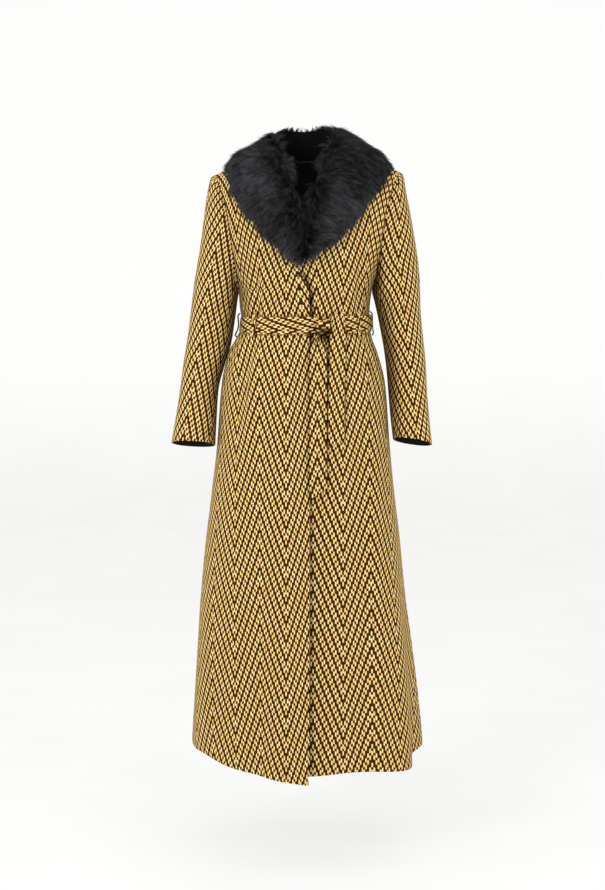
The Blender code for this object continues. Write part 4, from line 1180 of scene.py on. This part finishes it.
def cap_ends(piece):
    """Closes the open ends of a band."""
    select_only(piece)
    bpy.ops.object.mode_set(mode="EDIT")
    bpy.ops.mesh.select_all(action="DESELECT")
    bpy.ops.mesh.select_non_manifold(extend=False, use_wire=False, use_boundary=True, use_multi_face=False,
                                     use_non_contiguous=False, use_verts=False)
    bpy.ops.mesh.fill_holes(sides=0)
    bpy.ops.object.mode_set(mode="OBJECT")


def finished_band(piece, node, flat, held, rests_on, ring=False, **cut):
    """Closes a band on itself or at its ends, and sets it on the part."""
    join_edges(piece, RING_JOIN if ring else JOIN)
    if not ring:
        cap_ends(piece)
    piece.data.materials.append(WOOL)
    smooth_shaded(piece, 55)
    dressed(piece, node)


def belt_shade(points):
    """The belt's shade: beside the knot, and towards the arms."""
    x, y, z = points[..., 0], points[..., 1], points[..., 2]
    beside = np.exp(-((x - 0.040) / 0.013) ** 2 - ((z + 0.359) / 0.012) ** 2)
    to_arm = ease((np.abs(x) - 0.128) / 0.02)
    return np.where(y < 0, 0.9 * beside, 0.0) + 0.35 * to_arm


def belt():
    """The band round the waist, narrower and fuller where the knot draws it in."""
    turn = np.linspace(-176, 184, 361)
    x = ring_point(turn, np.full_like(turn, BELT_MIDDLE), gathered=False)[:, 0]
    near_knot = np.exp(-((x - 0.040) / 0.026) ** 2) * (np.cos(np.radians(turn)) > 0)
    rise = BELT_MIDDLE + 0.0022 * (x / 0.15) + 0.0008 * np.sin(np.radians(turn * 5)) - 0.0010 * near_knot
    out = out_at(turn, rise)
    path = ring_point(turn, rise, gathered=False) + out * (belt_lift(turn, rise) + REST_GAP)[:, None]
    above, below = (ring_point(turn, rise + step, gathered=False) for step in (0.006, -0.006))
    across = unit((above - below) * np.array([0.5, 0.5, 1.0]))
    thickness = BELT_CLOTH + 0.0012 + 0.0015 * near_knot
    piece, length = band_piece("belt_band", path, across, out, BELT_FLAT / 2 - 0.0065 * near_knot, thickness,
                               belt_shade, uv_turn=0.012)
    finished_band(piece, "belt", (BELT_FLAT, float(length)), "gathered", BODY_CLOTHS, ring=True)


belt()


def tail(name, node, strip, rests_on, phase_across, phase_up):
    """An end of the belt: it hangs on the front in a slow wave, and its foot is cut aslant."""
    wide, deep, weave = band_profile()
    share = np.linspace(0, 1, TAIL_ROWS)[:, None]
    middle = strip.x_top + (strip.x_foot - strip.x_top) * share + 0.0010 * np.sin(share * 7.0) * share
    x = middle + strip.half_width * (1 - 0.20 * np.exp(-(share / 0.10) ** 2)) * wide
    z = strip.z_top + (strip.z_foot + wide * strip.slant - strip.z_top) * share
    cloth = front_y(x, z)
    lie = np.minimum(cloth, np.minimum(np.roll(cloth, 3, axis=0), np.roll(cloth, -3, axis=0)))
    lie[:3] = cloth[:3]
    lie[-3:] = cloth[-3:]
    wave = 0.0022 * np.sin(share * 9.0 + 0.6) * share ** 0.5 + 0.0012
    y = lie - REST_GAP - np.maximum(wave, 0.0004) * (1 - 0.4 * wide ** 2)
    y = y - (BELT_CLOTH + 0.0008) * (0.5 + 0.5 * deep)
    if strip.z_top > BELT_TOP:
        tucked = ease((z - (BELT_TOP - 0.010)) / 0.014)
        y = y + 0.0046 * tucked
    points = np.stack([x, y, z], axis=-1)
    length = lengths_along(points[:, BAND_FACE], 0)
    rise = -length[:, None] + wide * strip.slant * share + phase_up
    uv = np.stack(np.broadcast_arrays(weave * strip.half_width + phase_across, rise), axis=-1)
    # Painted shade below the knot, and along the band's rounded edges.
    below_knot = 0.95 * np.exp(-((z + 0.373) / 0.013) ** 2) * (strip.z_top < BELT_FOOT)
    piece = grid_piece(name, points, uv, below_knot + 0.35 * np.abs(wide) ** 8)
    facing_out(piece, points[TAIL_ROWS // 2, BAND_FACE], (0, -1, 0))
    finished_band(piece, node, (2 * strip.half_width, float(length[-1])), "hung", rests_on)


tail("belt_long_end", "tail_long", LONG_END, ["front_left_cloth"], phase_across=0.004, phase_up=0.006)
tail("belt_short_end", "tail_short", SHORT_END, ["front_left_cloth", "belt_band"],
     phase_across=0.021, phase_up=0.020)


def loop(node, turn, stands, thickness, shade):
    """A belt loop: a narrow strip sewn above and below the belt, standing over it."""
    place = np.linspace(0, len(LOOP_PATH) - 1, 41)
    z, lift = (np.interp(place, range(len(LOOP_PATH)), column) for column in zip(*LOOP_PATH))
    turns = np.full_like(z, turn)
    out = out_at(turns, z)
    path = ring_point(turns, z, gathered=False) + out * (belt_lift(turns, z) + lift * stands)[:, None]
    path[:, 2] += 0.0022 * math.sin(math.radians(turn))
    tangent = np.stack([-out[:, 1], out[:, 0], 0 * z], axis=-1)
    normal = unit(np.cross(tangent, unit(np.gradient(path, axis=0))))
    normal = np.where((np.sum(normal * out, axis=1) < 0)[:, None], -normal, normal)
    piece, length = band_piece(node + "_strip", path, tangent, normal, 0.0040, thickness,
                               lambda points: np.full(points.shape[:2], shade), uv_turn=0.0019 + 0.001 * turn)
    finished_band(piece, node, (0.010, float(length)), "folded", ["belt_band"])


for node, row in LOOPS.items():
    loop(node, *row)


# Knot

KNOT_HIGH = 0.0145        # half of the knot's height
KNOT_DEEP = 0.0078        # half of its depth


def knot_shade(points):
    """The hollow at the knot's lower right, where the ends come out from under it."""
    x, z = points[..., 0], points[..., 2]
    return ease((x - 0.023) / 0.007) * ease((-0.3500 - z) / 0.006) + 0.6 * ease((-0.358 - z) / 0.006)


def knot():
    """The belt's knot: a band drawn once over the crossing ends, full above and falling back below."""
    x, z = KNOT_MIDDLE
    angle = np.linspace(-math.pi, math.pi, 61)
    lean = math.radians(6)
    face = float(front_y(np.array(x), np.array(BELT_MIDDLE)))
    middle = np.array([x - 0.0015, face - REST_GAP - 0.0100, z + 0.0015])
    up = np.array([-math.sin(lean), 0.0, math.cos(lean)])
    side = np.array([math.cos(lean), 0.0, math.sin(lean)])
    front = np.array([0.0, -1.0, 0.0])
    high = power_of(np.cos(angle), 0.75)
    deep = power_of(np.sin(angle), 0.75)
    fall = np.where(deep > 0, 0.60 + 0.40 * ease((high + 0.55) / 0.8), 1.0)
    path = middle + up * (KNOT_HIGH * high)[:, None] + front * (KNOT_DEEP * deep * fall)[:, None]
    outward = unit(up * (high / KNOT_HIGH)[:, None] + front * (deep / KNOT_DEEP)[:, None])
    half = 0.0125 + 0.0015 * np.abs(np.sin(angle))
    piece, length = band_piece("knot_wrap", path - outward * 0.0016, np.broadcast_to(side, path.shape),
                               outward, half, 0.0042, knot_shade)
    for corner in piece.data.uv_layers["Cloth"].data:
        corner.uv = (corner.uv[1] * 0.8 + 0.0090, corner.uv[0] + 0.0060)
    finished_band(piece, "knot", (BELT_FLAT, float(length)), "folded", ["belt_band"], ring=True,
                  area=float(length) * 0.030)


knot()


# Fur collar

FARTHEST = 12             # a point moves out to this many times its distance at most
HALVINGS = 18


def clear_of_body(point, clearance):
    """A point moved out of the coat's chest, shoulders and back, to this clearance."""
    x, y, z = point
    face = -1 if y < 0 else 1
    centre = float(shoulder_z(x)) - SHOULDER_ROUND

    def outside(scale):
        far_y = y * scale
        far_z = centre + (z - centre) * scale if z > centre else z
        length = math.hypot(far_y, max(far_z - centre, 0.0))
        pull = 1 - clearance / max(length, 1e-6)
        near_z = centre + (far_z - centre) * pull if far_z > centre else far_z
        if near_z >= float(shoulder_z(x)):
            return True
        return abs(far_y) * pull >= float(body_depth(x, near_z, face))

    if outside(1.0):
        return np.array(point)
    low, high = 1.0, 1.1
    while not outside(high) and high < FARTHEST:
        high *= 1.15
    for _ in range(HALVINGS):
        half = (low + high) / 2
        if outside(half):
            high = half
        else:
            low = half
    return np.array([x, y * high, centre + (z - centre) * high if z > centre else z])


def lap_margin(point):
    """Extra room over the upper front's free edge, which stands out from the chest."""
    if point[1] > 0 or point[0] > 0.02:
        return 0.0
    edge = smooth(FRONT_EDGES, "z", "right", point[2])
    return float(lap_lift(point[0], point[2], edge))


PELT_STATIONS = 150
PELT_STEPS = 20


def collar_surface():
    """The collar's underside and its outward directions and heights, as grids along and across it."""
    rows = []
    for row in COLLAR:
        if row.inner_y is ON_FRONT:
            row = row._replace(inner_y=float(-body_depth(row.inner_x, row.inner_z, -1)) - 0.006)
        if row.outer_y is ON_FRONT:
            row = row._replace(outer_y=float(-body_depth(row.outer_x, row.outer_z, -1)) - 0.002)
        rows.append(row)
    where = np.linspace(0, len(rows) - 1, PELT_STATIONS)
    values = np.stack([smooth(numbered(rows), "at", name, where) for name in Fur._fields], axis=-1)
    inner = values[:, 0:3]
    outer = values[:, 3:6]
    along = unit(np.gradient((inner + outer) / 2, axis=0))
    out = unit(np.cross(outer - inner, along))
    wrong_in_front = (out[:, 1] > 0) & (outer[:, 1] < -0.03)
    wrong_behind = (out[:, 1] < 0) & (outer[:, 1] > 0.05)
    out[(out[:, 2] < -0.2) | wrong_in_front | wrong_behind] *= -1
    share = np.linspace(0, 1, PELT_STEPS + 1)
    under = outer[:, None] + (inner - outer)[:, None] * share[None, :, None]
    for i, j in np.ndindex(under.shape[:2]):
        under[i, j] = clear_of_body(under[i, j], FUR_CLEAR + lap_margin(under[i, j]))
    height = values[:, 6:7] * (1 - np.abs(2 * share - 1) ** 2.6) ** (1 / 2.2)
    return under, out, height


def lumps(points, scale, seed):
    """Soft uneven swellings, from a few waves in different directions, about -1 to 1."""
    rng = np.random.default_rng(seed)
    total = 0.0
    for _ in range(7):
        direction = unit(rng.normal(size=3))
        waves = points @ direction * (2 * math.pi / scale) * rng.uniform(0.7, 1.5)
        total = total + np.sin(waves + rng.uniform(0, 6.28))
    return total / 3.2


def pelt():
    """The collar's skin under its fur, rounded on top, hollow below and drawn in from the collar's edges."""
    under, out, height = collar_surface()
    top = under + out[:, None] * height[..., None]
    fullness = 1 + 0.10 * lumps(top, 0.050, 3)
    skin_height = np.maximum(height - 0.0105, 0.35 * height) * fullness
    skin = under + out[:, None] * skin_height[..., None]
    reach = under[:, -1] - under[:, 0]
    width = np.linalg.norm(reach, axis=1)
    on_chest = ease((-0.06 - under[:, 0, 1]) / 0.03)
    on_shoulder = ease((0.065 - under[:, 0, 1]) / 0.040)
    outer_inset = 0.0065 + 0.0035 * on_shoulder + 0.0025 * on_chest
    outer_inset = outer_inset + 0.0030 * ease((-0.14 - under[:, 0, 2]) / 0.03)
    inner_inset = 0.0065 - 0.0045 * on_chest
    fit = np.minimum(1.0, 0.75 * width / (outer_inset + inner_inset))
    share = np.linspace(0, 1, PELT_STEPS + 1)
    slide = (outer_inset * fit)[:, None] * (1 - share) - (inner_inset * fit)[:, None] * share
    slide = slide[..., None] * unit(reach)[:, None]
    skin = skin + slide
    rings = closed_round(np.concatenate((under + slide, skin[:, -2:0:-1]), axis=1))
    length = lengths_along(rings[:, 0], 0)
    uv = np.stack(np.broadcast_arrays(lengths_along(rings, 1), length[:, None]), axis=-1)
    piece = grid_piece("collar_pelt", rings, uv)
    join_edges(piece)
    cap_ends(piece)
    select_only(piece)
    bpy.ops.object.mode_set(mode="EDIT")
    bpy.ops.mesh.select_all(action="SELECT")
    bpy.ops.mesh.normals_make_consistent(inside=False)
    bpy.ops.object.mode_set(mode="OBJECT")
    return piece, skin, top, out


collar_pelt, skin, fur_top, fur_out = pelt()
skin_finish = Finish("Fur skin", Roughness=0.9, Specular_IOR_Level=0.1)
skin_spots = skin_finish.noise(skin_finish.place(), 90.0, 3.0)
skin_finish.paint(Base_Color=skin_finish.mix(skin_spots, colour(7, 7, 8), colour(18, 18, 20)))
skin_finish.bump(skin_spots, 0.5, 0.002)
collar_pelt.data.materials.append(skin_finish.material)
smooth_shaded(collar_pelt, 60)
dressed(collar_pelt, "collar")

skin_out = unit(np.cross(np.gradient(skin, axis=1), np.gradient(skin, axis=0)))
skin_out[np.sum(skin_out * fur_out[:, None], axis=(1, 2)) < 0] *= -1

# Painted light on the fur, in the front view: lighter patches are painted sheen, darker ones painted shade.
Patch = namedtuple("Patch", "x z reach_x reach_z lighter")
PAINTED_FUR_LIGHT = (
    Patch(-0.094, -0.026, 0.046, 0.055, 0.40),
    Patch(-0.130, -0.100, 0.030, 0.030, 0.22),
    Patch(0.070, -0.092, 0.050, 0.048, 0.26),
    Patch(0.120, 0.010, 0.065, 0.050, -0.22),
    Patch(-0.052, -0.112, 0.034, 0.026, -0.16),
    Patch(-0.004, -0.178, 0.050, 0.040, 0.24),
)


def fur_tone_and_light(points, inner):
    """How light the fur is: lighter and darker at random, with painted sheen and painted shade in broad soft
    patches in front, and painted shade towards the neck and on the wearer's left.
    """
    tone = 0.28 + 0.10 * lumps(points, 0.070, 31) - 0.05 * ease(points[:, 0] / 0.05)
    for patch in PAINTED_FUR_LIGHT:
        off_x = (points[:, 0] - patch.x) / patch.reach_x
        off_z = (points[:, 2] - patch.z) / patch.reach_z
        tone = tone + patch.lighter * np.exp(-off_x ** 2 - off_z ** 2) * (points[:, 1] < 0)
    # Towards the neck the fur is painted darker, as painted shade.
    return tone * (1 - 0.75 * inner)


LOCKS = 2300              # in each of the four pieces of fur
STRANDS_IN_LOCK = 20
STRAND_LENGTH = 0.0245
STRAND_WIDTH = 0.00058
Locks = namedtuple("Locks", "centre normal lay rise length tone")


def fur_locks(rng):
    """Where the locks grow on the skin, how they lie and rise, how long they are and how light."""
    steps = skin.shape[1]
    corner = skin[:-1, :-1]
    area = np.linalg.norm(np.cross(skin[1:, :-1] - corner, skin[:-1, 1:] - corner), axis=-1)
    odds = (area / area.sum()).ravel()
    i, j = np.divmod(rng.choice(len(odds), size=LOCKS, p=odds), steps - 1)
    s = rng.random(LOCKS)[:, None]
    t = rng.random(LOCKS)[:, None]
    centre = (skin[i, j] * (1 - s) * (1 - t) + skin[i + 1, j] * s * (1 - t)
              + skin[i, j + 1] * (1 - s) * t + skin[i + 1, j + 1] * s * t)
    normal = unit(skin_out[i, j] * (1 - t) + skin_out[i, j + 1] * t)
    toward = unit(skin[i, np.maximum(j - 1, 0)] - skin[i, j + 1])
    place = (j + t[:, 0]) / (steps - 1)
    inner = ease((place - 0.80) / 0.20)[:, None]
    swirl = np.stack([lumps(centre, 0.070, seed) for seed in (11, 12, 13)], axis=-1)
    lay = toward * (1 - 1.15 * inner) + 0.42 * swirl + np.array([0.0, 0.0, -0.24])
    lay = unit(lay + 0.20 * rng.normal(size=(LOCKS, 3)))
    lay = unit(lay - normal * np.sum(lay * normal, axis=1, keepdims=True))
    rise = 0.42 + 0.20 * lumps(centre, 0.040, 21)[:, None] + 0.14 * rng.normal(size=(LOCKS, 1)) + 0.35 * inner
    length = STRAND_LENGTH * rng.uniform(0.70, 1.20, LOCKS) * (1 + 0.12 * lumps(centre, 0.045, 22))
    at_nape = ease((centre[:, 1] - 0.015) / 0.035) * ease((place - 0.62) / 0.25)
    length = length * (1 - 0.50 * at_nape)
    tone = fur_tone_and_light(centre, ease((place - 0.60) / 0.35)) + 0.26 * rng.normal(size=LOCKS)
    return Locks(centre, normal, lay, rise, length[:, None], tone)


def blades(name, points, uv):
    """A mesh of blades, each of five points in a four-sided and a three-sided face."""
    count = len(points)
    mesh = bpy.data.meshes.new(name)
    mesh.vertices.add(count * 5)
    mesh.loops.add(count * 7)
    mesh.polygons.add(count * 2)
    corners = 5 * np.arange(count)[:, None] + np.array([0, 1, 3, 2, 2, 3, 4])
    starts = 7 * np.arange(count)[:, None] + np.array([0, 4])
    mesh.vertices.foreach_set("co", points.astype(np.float32).ravel())
    mesh.loops.foreach_set("vertex_index", corners.ravel().astype(np.int32))
    mesh.polygons.foreach_set("loop_start", starts.ravel().astype(np.int32))
    mesh.polygons.foreach_set("use_smooth", np.ones(count * 2, bool))
    mesh.update(calc_edges=True)
    mesh.uv_layers.new(name="Strand").data.foreach_set("uv", uv.astype(np.float32).ravel())
    piece = bpy.data.objects.new(name, mesh)
    bpy.context.scene.collection.objects.link(piece)
    return piece


def strands(name, seed, finish):
    """Fur strands as fine tapered blades with one bend. They grow in narrow locks that lie side by side."""
    rng = np.random.default_rng(seed)
    count = LOCKS * STRANDS_IN_LOCK
    locks = Locks(*(np.repeat(values, STRANDS_IN_LOCK, axis=0) for values in fur_locks(rng)))
    across = unit(np.cross(locks.normal, locks.lay))
    offset = rng.normal(size=(count, 2)) * (0.0013, 0.0030)
    root = locks.centre + across * offset[:, :1] + locks.lay * offset[:, 1:]
    heading = unit(locks.lay + 0.11 * rng.normal(size=(count, 3)))
    up = locks.normal * np.maximum(locks.rise + 0.10 * rng.normal(size=(count, 1)), 0.08)
    length = locks.length * rng.uniform(0.75, 1.15, count)[:, None]
    first = unit(up + heading)
    bent = up * 0.35 + heading + np.array([0.0, 0.0, -0.14])
    second = unit(bent + 0.10 * rng.normal(size=(count, 3)))
    middle = root + first * length * 0.50
    tip = middle + second * length * 0.50 - across * offset[:, :1] * 0.25
    side = unit(np.cross(first, rng.normal(size=(count, 3))))
    half = side * (STRAND_WIDTH * rng.uniform(0.7, 1.2, count)[:, None] / 2)
    root = root - locks.normal * 0.0015
    points = np.stack([root - half, root + half, middle - half * 0.8, middle + half * 0.8, tip], axis=1)
    # A strand's lightness: its lock's, with the painted sheen and shade in it, and a little of its own.
    own = np.clip(locks.tone + 0.10 * rng.normal(size=count), 0.02, 0.98)
    along = np.array([0.02, 0.02, 0.55, 0.55, 0.55, 0.55, 0.98])
    piece = blades(name, points, np.stack(np.broadcast_arrays(own[:, None], along), axis=-1))
    piece.data.materials.append(finish)
    piece.data.validate()
    dressed(piece, "collar")
    return piece


FUR = fur_finish("Fur strands", colour(10, 10, 11), colour(76, 76, 79), colour(116, 116, 122))
fur_pieces = [strands(f"collar_fur_{number + 1}", 100 + number, FUR) for number in range(4)]


# Floor, light and camera

FLOOR = -1.552
FLOOR_FRONT = -8.0
FLOOR_BEND = 5.0          # where the floor starts to curve up into the wall behind
BEND_RADIUS = 1.4
WALL_TOP = 7.0
WALL_HALF = 9.0

paper = Finish("Pale floor", Roughness=0.9, Emission_Strength=0.71)
place = paper.place()
grain = paper.noise(place, 3.0, 2.0)
height = paper.split(place).part("Z")
glow = paper.mix(((height - FLOOR) * 1.2).clipped(), colour(236, 236, 235), colour(255, 255, 254))
paper.paint(Base_Color=paper.mix(grain, colour(138, 138, 137), colour(142, 142, 141)),
            Emission_Color=paper.mix(grain * 0.3, glow, colour(255, 255, 255)))
turn = np.linspace(0, math.pi / 2, 24)
bend = np.stack([FLOOR_BEND + BEND_RADIUS * np.sin(turn),
                 FLOOR + BEND_RADIUS - BEND_RADIUS * np.cos(turn)], axis=-1)
sweep = np.concatenate(([[FLOOR_FRONT, FLOOR]], bend, [[FLOOR_BEND + BEND_RADIUS, WALL_TOP]]))
wall = np.stack([np.column_stack([np.full(len(sweep), x), sweep]) for x in (-WALL_HALF, WALL_HALF)], axis=1)
floor = grid_piece("floor", wall, wall[..., :2] * 0.1)
facing_out(floor, (0, 0, FLOOR), (0, 0, 1))
floor.data.materials.append(paper.material)
smooth_shaded(floor, 40)


def softbox(name, place, target, size, power):
    deselect_all()
    bpy.ops.object.light_add(type="AREA", location=place)
    lamp = bpy.context.object
    lamp.name = name
    lamp.data.shape = "RECTANGLE"
    lamp.data.size, lamp.data.size_y = size
    lamp.data.energy = power
    lamp.rotation_euler = (Vector(target) - Vector(place)).to_track_quat("-Z", "Y").to_euler()


softbox("key_light", (-2.6, -3.1, 1.1), (0, 0, -0.6), (1.6, 2.2), 100)
softbox("fill_light", (2.9, -2.7, 0.4), (0, 0, -0.7), (1.6, 2.2), 62)
softbox("side_light_left", (-3.0, -0.7, 0.2), (0, 0, -0.7), (1.2, 2.6), 22)
softbox("side_light_right", (3.0, -0.7, 0.2), (0, 0, -0.7), (1.2, 2.6), 14)
softbox("top_light", (0, -0.6, 2.6), (0, 0.3, -0.6), (3.4, 3.0), 20)

world = bpy.data.worlds.new("Studio")
bpy.context.scene.world = world
world.use_nodes = True
world.node_tree.nodes["Background"].inputs["Color"].default_value = (1.0, 1.0, 1.0, 1)
world.node_tree.nodes["Background"].inputs["Strength"].default_value = 0.80

CAMERA_PLACE = (-0.00908, -3.5, -0.29)
CAMERA_DOWN = 5.4         # degrees below level
LENS = 62.64              # millimetres

deselect_all()
bpy.ops.object.camera_add(location=CAMERA_PLACE, rotation=(math.radians(90 - CAMERA_DOWN), 0, 0))
camera = bpy.context.object
camera.name = "camera"
camera.data.lens = LENS
camera.data.sensor_width = 36.0
camera.data.sensor_fit = "AUTO"
camera.data.clip_start = 0.05
camera.data.dof.use_dof = False
bpy.context.scene.camera = camera
bpy.context.scene.view_settings.view_transform = "Standard"
bpy.context.scene.view_settings.look = "None"
